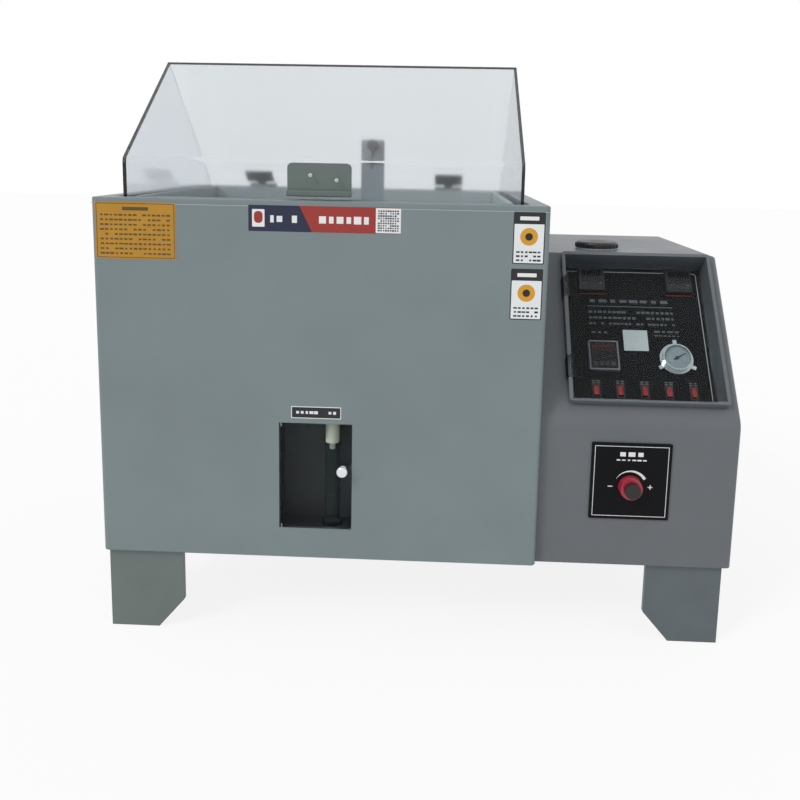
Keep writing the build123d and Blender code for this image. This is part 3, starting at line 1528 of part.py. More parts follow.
# Solution tank with the threaded neck through the console top
solution_top = console_top - console_wall - solution_top_gap
solution_inner_width = solution_width - 2 * solution_wall
solution_inner_depth = solution_depth - 2 * solution_wall
neck_top = console_top + neck_rise
with BuildPart() as solution_tank:
    with BuildSketch(Plane.XY.offset(solution_top - solution_height)):
        with Locations((neck_x, neck_y + solution_shift)):
            RectangleRounded(solution_width, solution_depth, solution_corner_radius)
    extrude(amount=solution_height)
    with BuildSketch(Plane.XY.offset(solution_top)):
        with Locations((neck_x, neck_y)):
            Circle(neck_radius)
    extrude(amount=neck_top - solution_top)
    with BuildSketch(Plane.XY.offset(solution_top - solution_height + solution_wall)):
        with Locations((neck_x, neck_y + solution_shift)):
            RectangleRounded(solution_inner_width, solution_inner_depth,
                             solution_corner_radius - solution_wall)
    extrude(amount=solution_height - 2 * solution_wall, mode=Mode.SUBTRACT)
    with BuildSketch(Plane.XY.offset(solution_top - solution_wall)):
        with Locations((neck_x, neck_y)):
            Circle(neck_radius - neck_wall)
    extrude(amount=neck_top - solution_top + solution_wall, mode=Mode.SUBTRACT)
    with BuildSketch(Plane.XY.offset(console_top)):
        with Locations((neck_x, neck_y)):
            Circle(neck_radius + neck_flange_width)
            Circle(neck_radius - neck_wall, mode=Mode.SUBTRACT)
    extrude(amount=neck_flange_sheet)
finish("solution_tank", solution_tank)

# Screw cap: domed, ribbed round the skirt, over a loose seal disc
cap_bottom = console_top + neck_flange_sheet + fit_gap
seal_bottom = neck_top + fit_gap
cap_inner_top = seal_bottom + cap_seal_sheet + fit_gap
with BuildPart() as cap_seal:
    with BuildSketch(Plane.XY.offset(seal_bottom)):
        with Locations((neck_x, neck_y)):
            Circle(neck_radius)
    extrude(amount=cap_seal_sheet)
finish("cap_seal", cap_seal)

with BuildPart() as screw_cap:
    with BuildSketch(Plane(origin=(neck_x, neck_y, 0), x_dir=(1, 0, 0), z_dir=(0, -1, 0))):
        with BuildLine():
            Polyline(
                (0, cap_inner_top),
                (neck_radius + cap_running_gap, cap_inner_top),
                (neck_radius + cap_running_gap, cap_bottom),
                (cap_radius, cap_bottom),
                (cap_radius, cap_inner_top - 1),
            )
            Spline(
                (cap_radius, cap_inner_top - 1),
                (cap_radius * 0.72, cap_inner_top + cap_dome * 0.72),
                (0, cap_inner_top + cap_dome),
                tangents=((0, 1), (-1, 0)),
            )
            Line((0, cap_inner_top + cap_dome), (0, cap_inner_top))
        make_face()
    revolve(axis=Axis((neck_x, neck_y, 0), (0, 0, 1)))
    with BuildSketch(Plane.XY.offset(cap_bottom)):
        with Locations((neck_x, neck_y)):
            with PolarLocations(cap_radius, cap_rib_count):
                Circle(cap_rib_radius)
    extrude(amount=cap_skirt - cap_rib_top_gap)
finish("screw_cap", screw_cap)

# Air saturator: welded barrel on the console floor, with its sight ports closed
barrel_x = tank_right + barrel_side
barrel_y = tank_front + barrel_setback
barrel_bottom = body_bottom + console_wall
with BuildPart() as saturator_barrel:
    with BuildSketch(Plane.XY.offset(barrel_bottom)):
        with Locations((barrel_x, barrel_y)):
            Circle(barrel_radius)
    extrude(amount=barrel_height)
    fillet(saturator_barrel.edges().group_by(Axis.Z)[-1], barrel_dome_radius)
    with Locations((barrel_x, barrel_y, barrel_bottom + barrel_height)):
        Cylinder(barrel_port_radius, 2 * barrel_port_reach)
finish("saturator_barrel", saturator_barrel)

# Drain: pipe out of the tank rear, ball-valve body and its lever
valve_y = tank_back + drain_reach / 2
valve_neck_top = valve_body_radius + valve_neck_reach
with BuildPart() as drain_valve:
    with BuildSketch(Plane.XZ.offset(-(tank_back - tank_wall))):
        with Locations((drain_x, drain_z)):
            Circle(drain_radius)
    extrude(amount=-(drain_reach + tank_wall))
    with BuildSketch(Plane.XZ.offset(-(valve_y - valve_body_length / 2))):
        with Locations((drain_x, drain_z)):
            Circle(valve_body_radius)
    extrude(amount=-valve_body_length)
    chamfer(drain_valve.edges().filter_by(GeomType.CIRCLE).filter_by(
        lambda e: abs(e.radius - valve_body_radius) < 0.1), valve_body_chamfer)
    with BuildSketch(Plane.XY.offset(drain_z)):
        with Locations((drain_x, valve_y)):
            Circle(valve_neck_radius)
    extrude(amount=valve_neck_top)
    with BuildSketch(Plane.XY.offset(drain_z)):
        with Locations((drain_x, valve_y)):
            Circle(valve_stem_radius)
    extrude(amount=valve_neck_top + lever_sheet + valve_stem_reach)
    with BuildSketch(Plane.XZ.offset(-(tank_back + drain_reach))):
        with Locations((drain_x, drain_z)):
            Circle(drain_radius - drain_wall)
    extrude(amount=drain_bore_depth, mode=Mode.SUBTRACT)
finish("drain_valve", drain_valve)

lever_z = drain_z + valve_neck_top + fit_gap
with BuildPart() as drain_lever:
    with BuildSketch(Plane.XY.offset(lever_z)):
        with Locations((drain_x, valve_y)):
            Circle(lever_hub_radius)
        with Locations((drain_x + lever_length / 2, valve_y)):
            SlotOverall(lever_length, lever_width)
        with Locations((drain_x, valve_y)):
            Circle(valve_stem_radius + pin_clearance, mode=Mode.SUBTRACT)
    extrude(amount=lever_sheet)
finish("drain_lever", drain_lever)

# Exhaust port: pipe from the chamber through both rear walls
with BuildPart() as exhaust_port:
    with BuildSketch(Plane.XZ.offset(-chamber_back)):
        with Locations((exhaust_x, exhaust_z)):
            Circle(exhaust_radius)
    extrude(amount=-(tank_back - chamber_back + exhaust_reach))
    with BuildSketch(Plane.XZ.offset(-tank_back)):
        with Locations((exhaust_x, exhaust_z)):
            Circle(exhaust_radius + exhaust_flange_width)
    extrude(amount=-exhaust_flange_sheet)
    with BuildSketch(Plane.XZ.offset(-chamber_back)):
        with Locations((exhaust_x, exhaust_z)):
            Circle(exhaust_radius - exhaust_wall)
    extrude(amount=-(tank_back - chamber_back + exhaust_reach), mode=Mode.SUBTRACT)
finish("exhaust_port", exhaust_port)

# Cable gland, empty, low on the console rear
gland_x = tank_right + gland_side
gland_z = body_bottom + gland_height
with BuildPart() as cable_gland:
    with BuildSketch(Plane.XZ.offset(-console_back)):
        with Locations((gland_x, gland_z)):
            RegularPolygon(gland_radius + gland_nut_width, 6)
    extrude(amount=-gland_nut_depth)
    with BuildSketch(Plane.XZ.offset(-console_back)):
        with Locations((gland_x, gland_z)):
            Circle(gland_radius)
    extrude(amount=-gland_reach)
    fillet(cable_gland.edges().filter_by(GeomType.CIRCLE).group_by(Axis.Y)[-1], gland_nose_radius)
    with BuildSketch(Plane.XZ.offset(-console_back)):
        with Locations((gland_x, gland_z)):
            Circle(gland_radius / 2)
    extrude(amount=-gland_reach, mode=Mode.SUBTRACT)
finish("cable_gland", cable_gland)
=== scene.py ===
import json
import math
import bmesh
import bpy
from mathutils import Matrix, Vector


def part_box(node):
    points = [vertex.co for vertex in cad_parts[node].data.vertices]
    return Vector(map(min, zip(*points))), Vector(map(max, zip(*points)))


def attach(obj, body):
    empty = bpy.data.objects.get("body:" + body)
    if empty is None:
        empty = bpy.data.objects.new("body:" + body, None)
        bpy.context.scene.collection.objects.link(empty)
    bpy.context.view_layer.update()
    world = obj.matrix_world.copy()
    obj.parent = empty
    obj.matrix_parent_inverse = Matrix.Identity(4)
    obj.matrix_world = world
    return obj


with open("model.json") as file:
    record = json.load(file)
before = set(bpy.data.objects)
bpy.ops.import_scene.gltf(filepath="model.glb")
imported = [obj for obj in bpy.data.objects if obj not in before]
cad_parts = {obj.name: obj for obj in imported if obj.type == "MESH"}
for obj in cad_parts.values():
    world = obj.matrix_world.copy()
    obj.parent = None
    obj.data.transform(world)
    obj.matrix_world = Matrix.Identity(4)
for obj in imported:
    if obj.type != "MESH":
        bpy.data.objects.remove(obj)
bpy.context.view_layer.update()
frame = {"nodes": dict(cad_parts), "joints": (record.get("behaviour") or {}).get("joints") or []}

# Camera
# The photograph is taken from near the object's middle, a little above the console, with a wide phone lens
# that looks slightly down. Its frame is 800 by 800 pixels.
frame_pixels = 800
focal_pixels = 850
optical_centre = (405.9, 291.1)
eye = Vector((0.0286, -1.6820, 0.8187))
pitch = math.radians(9.02)
yaw = math.radians(-2.24)
roll = math.radians(-1.10)
ahead = Vector((math.sin(yaw) * math.cos(pitch), math.cos(yaw) * math.cos(pitch), -math.sin(pitch)))
level_right = Vector((math.cos(yaw), -math.sin(yaw), 0))
level_down = ahead.cross(level_right)
right = math.cos(roll) * level_right + math.sin(roll) * level_down
down = math.cos(roll) * level_down - math.sin(roll) * level_right
lens = bpy.data.cameras.new("camera")
lens.sensor_width = 36
lens.lens = focal_pixels / frame_pixels * lens.sensor_width
lens.shift_x = (frame_pixels / 2 - optical_centre[0]) / frame_pixels
lens.shift_y = (optical_centre[1] - frame_pixels / 2) / frame_pixels
camera = bpy.data.objects.new("camera", lens)
turn = Matrix((right, -down, -ahead)).transposed()
camera.matrix_world = Matrix.Translation(eye) @ turn.to_4x4()
bpy.context.scene.collection.objects.link(camera)
bpy.context.scene.camera = camera
bpy.context.scene.view_settings.view_transform = "Standard"


# Studio
# A white room: an even sky, one wide soft sun from the upper left in front, and a pale floor that keeps the
# object's shadow. What the camera, the gloss and the clear sheets see behind the object is white.
def colour(value):
    """Linear red, green, blue and alpha of an sRGB hex value."""
    parts = [int(value[at:at + 2], 16) / 255 for at in (1, 3, 5)]
    return [p / 12.92 if p <= 0.04045 else ((p + 0.055) / 1.055) ** 2.4 for p in parts] + [1]


def add(tree, kind, settings=None, values=None, links=None):
    """One node with its settings, its sockets' values and the links into it."""
    made = tree.nodes.new(kind)
    for name, value in (settings or {}).items():
        setattr(made, name, value)
    for socket, value in (values or {}).items():
        made.inputs[socket].default_value = value
    for socket, source in (links or {}).items():
        tree.links.new(source, made.inputs[socket])
    return made


sky_level = 0.78
world = bpy.data.worlds.new("white_room")
world.use_nodes = True
room = world.node_tree
room.nodes.clear()
room_path = add(room, "ShaderNodeLightPath")
room_camera = add(room, "ShaderNodeMath", {"operation": "MAXIMUM"},
                  links={0: room_path.outputs["Is Camera Ray"],
                         1: room_path.outputs["Is Transmission Ray"]})
room_seen = add(room, "ShaderNodeMath", {"operation": "MAXIMUM"},
                links={0: room_camera.outputs[0], 1: room_path.outputs["Is Glossy Ray"]})
sky = add(room, "ShaderNodeBackground", values={"Color": colour("#f4f7fa"), "Strength": sky_level})
white = add(room, "ShaderNodeBackground", values={"Color": (1, 1, 1, 1), "Strength": 1})
room_mix = add(room, "ShaderNodeMixShader",
               links={0: room_seen.outputs[0], 1: sky.outputs[0], 2: white.outputs[0]})
add(room, "ShaderNodeOutputWorld", links={"Surface": room_mix.outputs[0]})
bpy.context.scene.world = world

sun_data = bpy.data.lights.new("window_light", "SUN")
sun_data.energy = 1.15
sun_data.angle = math.radians(16)
sun_data.color = (1.0, 0.985, 0.96)
sun = bpy.data.objects.new("window_light", sun_data)
sun.rotation_euler = Vector((-0.62, -0.62, 0.72)).to_track_quat("Z", "Y").to_euler()
bpy.context.scene.collection.objects.link(sun)

floor_reach = 14
floor_corners = [(x * floor_reach, y * floor_reach, 0) for x, y in ((-1, -1), (1, -1), (1, 1), (-1, 1))]
floor_mesh = bpy.data.meshes.new("floor")
floor_mesh.from_pydata(floor_corners, [], [(0, 1, 2, 3)])
floor = bpy.data.objects.new("floor", floor_mesh)
bpy.context.scene.collection.objects.link(floor)
floor_paint = bpy.data.materials.new("white_floor")
floor_paint.use_nodes = True
ground = floor_paint.node_tree
ground.nodes.clear()
ground_path = add(ground, "ShaderNodeLightPath")
ground_camera = add(ground, "ShaderNodeMath", {"operation": "MAXIMUM"},
                    links={0: ground_path.outputs["Is Camera Ray"],
                           1: ground_path.outputs["Is Transmission Ray"]})
ground_seen = add(ground, "ShaderNodeMath", {"operation": "MAXIMUM"},
                  links={0: ground_camera.outputs[0], 1: ground_path.outputs["Is Glossy Ray"]})
floor_whiteness = 0.86
ground_share = add(ground, "ShaderNodeMath", {"operation": "MULTIPLY"}, {1: floor_whiteness},
                   {0: ground_seen.outputs[0]})
ground_matt = add(ground, "ShaderNodeBsdfDiffuse", values={"Color": colour("#f4f4f2")})
ground_white = add(ground, "ShaderNodeEmission", values={"Color": (1, 1, 1, 1), "Strength": 1.0})
ground_mix = add(ground, "ShaderNodeMixShader",
                 links={0: ground_share.outputs[0], 1: ground_matt.outputs[0], 2: ground_white.outputs[0]})
add(ground, "ShaderNodeOutputMaterial", links={"Surface": ground_mix.outputs[0]})
floor_mesh.materials.append(floor_paint)


# Tank and console sheets
# Grey rigid PVC sheet, 8 to 10 mm thick, cut, bent and hot-welded. The extruded face has a low satin sheen, a
# faint cloudiness from handling and fine rubs that run mostly level.
def new_material(name):
    """A material with one Principled shader, its tree and the object coordinates."""
    made = bpy.data.materials.new(name)
    made.use_nodes = True
    tree = made.node_tree
    tree.nodes.clear()
    shader = add(tree, "ShaderNodeBsdfPrincipled")
    add(tree, "ShaderNodeOutputMaterial", links={"Surface": shader.outputs[0]})
    place = add(tree, "ShaderNodeTexCoord")
    return made, tree, shader, place.outputs["Object"]


def sheet_plastic(name, light, dark, roughness, cloud_mm=160.0, grain_mm=1.4, edge_mm=0.8):
    """Satin sheet plastic: clouded colour, level rubs in the roughness, eased edges and a fine skin."""
    made, tree, shader, place = new_material(name)
    cloud = add(tree, "ShaderNodeTexNoise", values={"Scale": 1000 / cloud_mm, "Detail": 3, "Roughness": 0.55},
                links={"Vector": place})
    tone = add(tree, "ShaderNodeMix", {"data_type": "RGBA"}, {6: colour(dark), 7: colour(light)},
               {0: cloud.outputs["Fac"]})
    tree.links.new(tone.outputs[2], shader.inputs["Base Color"])
    stretch = add(tree, "ShaderNodeMapping", values={"Scale": (2, 2, 90)}, links={"Vector": place})
    rubs = add(tree, "ShaderNodeTexNoise", values={"Scale": 6, "Detail": 4},
               links={"Vector": stretch.outputs[0]})
    rub_range = add(tree, "ShaderNodeMapRange", values={3: roughness - 0.06, 4: roughness + 0.1},
                    links={0: rubs.outputs["Fac"]})
    tree.links.new(rub_range.outputs[0], shader.inputs["Roughness"])
    skin = add(tree, "ShaderNodeTexNoise", values={"Scale": 1000 / grain_mm, "Detail": 2},
               links={"Vector": place})
    eased = add(tree, "ShaderNodeBevel", {"samples": 4}, {"Radius": edge_mm / 1000})
    bump = add(tree, "ShaderNodeBump", values={"Strength": 0.06, "Distance": 0.0004},
               links={"Height": skin.outputs["Fac"], "Normal": eased.outputs[0]})
    tree.links.new(bump.outputs[0], shader.inputs["Normal"])
    shader.inputs["IOR"].default_value = 1.53
    return made


def dress(material, *names):
    """Give CAD nodes their finish."""
    for name in names:
        frame["nodes"][name].material_slots[0].material = material


grey_pvc = sheet_plastic("grey_pvc_sheet", "#798587", "#6d787b", roughness=0.4)
dress(grey_pvc, "outer_tank", "top_flange")
# The console's sheet is the same grey PVC as the tank's, coloured darker as painted shade where the tank
# shades it.
console_shaded_pvc = sheet_plastic("console_pvc_sheet", "#63676b", "#575b5f", roughness=0.38)
dress(console_shaded_pvc, "console_shell", "service_panel")

# Feet
# Two thick PVC plates welded into an angle under each corner, with their lower corners sawn off. The tank's
# feet are scuffed and a little greener than the body, and the console's foot is bluer and coloured darker as
# painted shade, for the more shade it stands in.
foot_pvc = sheet_plastic("foot_pvc_plate", "#69736f", "#5d6764", roughness=0.42, cloud_mm=60)
dress(foot_pvc, "foot_front_left", "foot_rear_left", "foot_rear_right")
right_foot_pvc = sheet_plastic("right_foot_pvc_plate", "#5b6367", "#4d555a", roughness=0.36, cloud_mm=60)
dress(right_foot_pvc, "foot_front_right")

# Chamber liner, trough and inside pieces
# Lighter grey PVC, kept matt by salt fog, with a pale clouded bloom where the fog dries. The racks are PVC
# bar, darker and more worn than the liner.
liner_pvc = sheet_plastic("liner_pvc_sheet", "#a9b3b5", "#98a3a6", roughness=0.5, cloud_mm=90)
dress(liner_pvc, "chamber_liner", "seal_trough", "exhaust_port", "spray_tower")
rack_pvc = sheet_plastic("rack_pvc_bar", "#7d888a", "#6d7779", roughness=0.45, cloud_mm=40)
dress(rack_pvc, "sample_rack_front", "sample_rack_rear")

# Lid
# Clear cast acrylic, 5 mm thick, line-bent at the skirt and solvent-welded to two gables. It is faintly blue,
# greyed by dried fog inside, and its sawn and flamed edges look dark because they pass no light sideways.
def clear_sheet(name, tint, haze, roughness, edge, edge_along_x):
    """Clear acrylic with a fogged inside and dark edges; lamps shine through it."""
    made, tree, shader, place = new_material(name)
    output = tree.nodes["Material Output"]
    shader.inputs["IOR"].default_value = 1.49
    shader.inputs["Transmission Weight"].default_value = 1
    facing = add(tree, "ShaderNodeTexCoord")
    side = add(tree, "ShaderNodeSeparateXYZ", links={0: facing.outputs["Normal"]})
    size = add(tree, "ShaderNodeMath", {"operation": "ABSOLUTE"}, links={0: side.outputs["X"]})
    kind = "GREATER_THAN" if edge_along_x else "LESS_THAN"
    mask = add(tree, "ShaderNodeMath", {"operation": kind}, {1: 0.5}, {0: size.outputs[0]})
    fog = add(tree, "ShaderNodeTexNoise", values={"Scale": 9, "Detail": 3, "Roughness": 0.6},
              links={"Vector": place})
    fog_range = add(tree, "ShaderNodeMapRange", values={3: roughness, 4: roughness + haze},
                    links={0: fog.outputs["Fac"]})
    tree.links.new(fog_range.outputs[0], shader.inputs["Roughness"])
    tone = add(tree, "ShaderNodeMix", {"data_type": "RGBA"}, {6: colour(tint), 7: colour(edge)},
               {0: mask.outputs[0]})
    tree.links.new(tone.outputs[2], shader.inputs["Base Color"])
    lamp_path = add(tree, "ShaderNodeLightPath")
    let_through = add(tree, "ShaderNodeBsdfTransparent", values={"Color": colour(tint)})
    mixed = add(tree, "ShaderNodeMixShader",
                links={0: lamp_path.outputs["Is Shadow Ray"], 1: shader.outputs[0],
                       2: let_through.outputs[0]})
    tree.links.new(mixed.outputs[0], output.inputs["Surface"])
    return made


lid_acrylic = clear_sheet("lid_acrylic", "#eef1f3",
                          haze=0.10, roughness=0.03, edge="#5b656b", edge_along_x=True)
dress(lid_acrylic, "lid_front", "lid_back")
gable_acrylic = clear_sheet("gable_acrylic", "#dde1e6",
                            haze=0.08, roughness=0.03, edge="#59636a", edge_along_x=False)
dress(gable_acrylic, "lid_left_gable", "lid_right_gable")

# Lid handle and deflector bracket
# The handle is a milled plate of darker grey-green PVC, screwed through the skirt, with a lip for the fingers
# along its lower edge. The bracket inside is a slotted strip of bluer PVC, seen through the lid.
handle_pvc = sheet_plastic("handle_pvc_plate", "#65716d", "#57635f", roughness=0.3, cloud_mm=30)
dress(handle_pvc, "lid_handle")
bracket_pvc = sheet_plastic("bracket_pvc_plate", "#858f94", "#79838a", roughness=0.3, cloud_mm=30)
dress(bracket_pvc, "deflector_bracket")

# Window, door and the compartment behind it
# The door is 5 mm clear acrylic with frosted sawn edges that catch the light; their paler colour is a painted
# highlight. The compartment's walls are coloured near black as painted shade for the unlit space behind the
# door, so the opening looks nearly black with the measuring cylinder's glass showing grey in it.
# Near-black colour: painted shade for the unlit compartment.
compartment_painted_shade = sheet_plastic("black_pvc_sheet", "#131416", "#0d0e10", roughness=0.5, cloud_mm=40)
dress(compartment_painted_shade, "cylinder_compartment")


def clear_plastic(name, tint, roughness, edge, edge_axis, edge_level=0.5):
    """Clear sheet whose sawn edges, the faces turned away from edge_axis, are frosted and paler, a painted
    highlight.
    """
    made, tree, shader, place = new_material(name)
    output = tree.nodes["Material Output"]
    shader.inputs["IOR"].default_value = 1.16
    facing = add(tree, "ShaderNodeTexCoord")
    along = add(tree, "ShaderNodeVectorMath", {"operation": "DOT_PRODUCT"}, {1: edge_axis},
                {0: facing.outputs["Normal"]})
    size = add(tree, "ShaderNodeMath", {"operation": "ABSOLUTE"}, links={0: along.outputs["Value"]})
    mask = add(tree, "ShaderNodeMath", {"operation": "LESS_THAN"}, {1: edge_level}, {0: size.outputs[0]})
    smears = add(tree, "ShaderNodeTexNoise", values={"Scale": 26, "Detail": 3}, links={"Vector": place})
    rough_sheet = add(tree, "ShaderNodeMapRange", values={3: roughness, 4: roughness + 0.05},
                      links={0: smears.outputs["Fac"]})
    rough = add(tree, "ShaderNodeMix", {"data_type": "FLOAT"}, {3: 0.45},
                {0: mask.outputs[0], 2: rough_sheet.outputs[0]})
    tree.links.new(rough.outputs[0], shader.inputs["Roughness"])
    # The edge colour, paler than the sheet's, is a painted highlight on the frosted edges.
    tone = add(tree, "ShaderNodeMix", {"data_type": "RGBA"}, {6: colour(tint), 7: colour(edge)},
               {0: mask.outputs[0]})
    tree.links.new(tone.outputs[2], shader.inputs["Base Color"])
    shader.inputs["Transmission Weight"].default_value = 1
    lamp_path = add(tree, "ShaderNodeLightPath")
    let_through = add(tree, "ShaderNodeBsdfTransparent", values={"Color": colour(tint)})
    mixed = add(tree, "ShaderNodeMixShader",
                links={0: lamp_path.outputs["Is Shadow Ray"], 1: shader.outputs[0],
                       2: let_through.outputs[0]})
    tree.links.new(mixed.outputs[0], output.inputs["Surface"])
    return made


door_acrylic = clear_plastic("door_acrylic", "#dfe6e6", roughness=0.03, edge="#f2f5f4", edge_axis=(0, 1, 0))
dress(door_acrylic, "window_door")


def moulded(name, light, dark, roughness, patch_mm, grain_mm, bump=0.05, gloss=0.5):
    """Moulded plastic or rubber: faint flow patches, a fine grain and rounded edges."""
    made, tree, shader, place = new_material(name)
    shader.inputs["Specular IOR Level"].default_value = gloss
    patches = add(tree, "ShaderNodeTexNoise", values={"Scale": 1000 / patch_mm, "Detail": 2},
                  links={"Vector": place})
    tone = add(tree, "ShaderNodeMix", {"data_type": "RGBA"}, {6: colour(dark), 7: colour(light)},
               {0: patches.outputs["Fac"]})
    tree.links.new(tone.outputs[2], shader.inputs["Base Color"])
    spread = add(tree, "ShaderNodeMapRange", values={3: roughness - 0.04, 4: roughness + 0.06},
                 links={0: patches.outputs["Fac"]})
    tree.links.new(spread.outputs[0], shader.inputs["Roughness"])
    grain = add(tree, "ShaderNodeTexNoise", values={"Scale": 1000 / grain_mm, "Detail": 1},
                links={"Vector": place})
    eased = add(tree, "ShaderNodeBevel", {"samples": 4}, {"Radius": 0.0004})
    raised = add(tree, "ShaderNodeBump", values={"Strength": bump, "Distance": 0.0003},
                 links={"Height": grain.outputs["Fac"], "Normal": eased.outputs[0]})
    tree.links.new(raised.outputs[0], shader.inputs["Normal"])
    return made


def metal(name, light, dark, roughness, line_mm, across):
    """Worked metal: fine tool lines across one direction and a little tarnish."""
    made, tree, shader, place = new_material(name)
    shader.inputs["Metallic"].default_value = 1
    stretch = add(tree, "ShaderNodeMapping", values={"Scale": across}, links={"Vector": place})
    lines = add(tree, "ShaderNodeTexNoise", values={"Scale": 1000 / line_mm, "Detail": 3},
                links={"Vector": stretch.outputs[0]})
    tarnish = add(tree, "ShaderNodeTexNoise", values={"Scale": 30, "Detail": 3}, links={"Vector": place})
    tone = add(tree, "ShaderNodeMix", {"data_type": "RGBA"}, {6: colour(dark), 7: colour(light)},
               {0: tarnish.outputs["Fac"]})
    tree.links.new(tone.outputs[2], shader.inputs["Base Color"])
    spread = add(tree, "ShaderNodeMapRange", values={3: max(roughness - 0.05, 0.02), 4: roughness + 0.08},
                 links={0: lines.outputs["Fac"]})
    tree.links.new(spread.outputs[0], shader.inputs["Roughness"])
    scored = add(tree, "ShaderNodeBump", values={"Strength": 0.05, "Distance": 0.0002},
                 links={"Height": lines.outputs["Fac"]})
    tree.links.new(scored.outputs[0], shader.inputs["Normal"])
    return made


chrome = metal("chromed_brass", "#e9ecee", "#cfd4d7", roughness=0.07, line_mm=0.6, across=(1, 6, 1))
dress(chrome, "door_knob")
steel = metal("ground_stainless_steel", "#b4b7b8", "#999da0", roughness=0.28, line_mm=0.5, across=(1, 1, 8))
dress(steel, "door_pins", "lid_hinge_bases", "lid_hinge_leaves", "drain_lever", "temperature_probe",
      "water_heater", "saturator_barrel")
cylinder_glass = clear_plastic("borosilicate_glass", "#dfe9ea",
                               roughness=0.02, edge="#dfe9ea", edge_axis=(0, 0, 1), edge_level=-1)
dress(cylinder_glass, "measuring_cylinder", "spray_nozzle", "fog_funnel")
spout_pp = moulded("polypropylene_spout", "#ddd7c8", "#cfc8b8", roughness=0.42, patch_mm=25, grain_mm=0.8)
dress(spout_pp, "collector_spout")

# Deflector clamp, screw cap and cable gland
# Black glass-filled nylon and phenolic mouldings with a satin skin, a little greyer where hands wear them.
black_nylon = moulded("black_nylon", "#26272a", "#1b1c1f", roughness=0.4, patch_mm=18, grain_mm=0.5)
dress(black_nylon, "clamp_knob", "screw_cap", "cable_gland")

# Console rim, panel and instruments
# The rim is grey PVC welded round the pocket. The panel is black sheet with pale print. Controllers are black
# ABS and the timer's black case is coloured pale grey, a painted sheen for its clear frame's glossy edges;
# the gauge is a steel case with a white dial, and the switches are red polycarbonate.
# The rim's colour is as dark as the console's sheet: painted shade as well.
rim_pvc = sheet_plastic("rim_pvc_sheet", "#62686d", "#575d62", roughness=0.34, cloud_mm=60)
dress(rim_pvc, "panel_rim")
panel_black = moulded("printed_panel_sheet", "#0b0c0f", "#07080a",
                      roughness=0.42, patch_mm=60, grain_mm=0.9, bump=0.01, gloss=0.12)
dress(panel_black, "control_panel", "regulator_plate")
case_abs = moulded("black_abs_case", "#191a1e", "#111215", roughness=0.36, patch_mm=12, grain_mm=0.4)
dress(case_abs, "controller_left", "controller_right", "rocker_frames")
# The timer's case is coloured pale grey: painted sheen for the glossy edges of its clear frame.
timer_case_sheen = moulded("timer_painted_sheen", "#7b7f84", "#6a6e73", roughness=0.3, patch_mm=14, grain_mm=0.4)
dress(timer_case_sheen, "timer")
gauge_steel = metal("polished_steel_case", "#d2d5d7", "#b9bdc0",
                    roughness=0.16, line_mm=0.4, across=(1, 1, 1))
dress(gauge_steel, "gauge_case")
pointer_black = moulded("black_enamel", "#17181a", "#101113", roughness=0.35, patch_mm=8, grain_mm=0.3)
dress(pointer_black, "gauge_pointer")
rocker_red = moulded("red_polycarbonate", "#a3221b", "#841811",
                     roughness=0.18, patch_mm=7, grain_mm=0.3, bump=0.02)
dress(rocker_red, "rocker_1", "rocker_2", "rocker_3", "rocker_4", "rocker_5")
cover_normal = tuple(next(j["axis"] for j in frame["joints"] if j["name"] == "pointer_turn"))
# The cover's edges are slightly paler too: painted highlight.
cover_acrylic = clear_plastic("cover_acrylic", "#e2e7e8",
                              roughness=0.03, edge="#e8eced", edge_axis=cover_normal)
dress(cover_acrylic, "clear_cover", "cover_hinges", "gauge_lens")

# Regulator body
# A black moulded valve body behind the console's front sheet, satin like the cap. Its plate and knob have
# sections of their own.
dress(black_nylon, "regulator_body")

# Solution tank and drain
# The solution tank is blow-moulded natural polyethylene, milky and satin, with a nitrile ring in its cap. The
# drain is a cast brass ball valve, dull where it was cast.
natural_pe = moulded("natural_polyethylene", "#e3e6e2", "#d6dad6", roughness=0.45, patch_mm=70, grain_mm=1.2)
dress(natural_pe, "solution_tank")
seal_rubber = moulded("nitrile_rubber", "#1d1d1e", "#161617", roughness=0.7, patch_mm=15, grain_mm=0.5)
dress(seal_rubber, "cap_seal")
brass = metal("cast_brass", "#c2a05c", "#a3824a", roughness=0.3, line_mm=0.8, across=(1, 1, 1))
dress(brass, "drain_valve")


# Cards and printed plates
# Printed vinyl films and a polyester plate, stuck flat on the tank's front. Each has its own colours and
# border, and rows of short plain bars that give its print its rhythm and scale.
def spot_at(origin, up):
    """A flat place on the object: its origin, the directions across and up, and outwards."""
    across = Vector((1, 0, 0))
    return origin, across, up, across.cross(up)


def rounded(left, low, right, high, radius, steps=4):
    """Rounded rectangle, anticlockwise, in millimetres."""
    points = []
    for x, y, start in ((right - radius, low + radius, -90), (right - radius, high - radius, 0),
                        (left + radius, high - radius, 90), (left + radius, low + radius, 180)):
        for step in range(steps + 1):
            angle = math.radians(start + 90 * step / steps)
            points.append((x + radius * math.cos(angle), y + radius * math.sin(angle)))
    return points


def frame_bars(left, low, right, high, width, radius):
    """Four bars that make a thin frame, in millimetres."""
    return [rounded(*bar, radius) for bar in (
        (left, low, right, low + width), (left, high - width, right, high),
        (left, low + width, left + width, high - width), (right - width, low + width, right, high - width))]


def disc(x, y, radius, steps=32):
    """Circle as an anticlockwise outline."""
    turns = [2 * math.pi * step / steps for step in range(steps)]
    return [(x + radius * math.cos(t), y + radius * math.sin(t)) for t in turns]


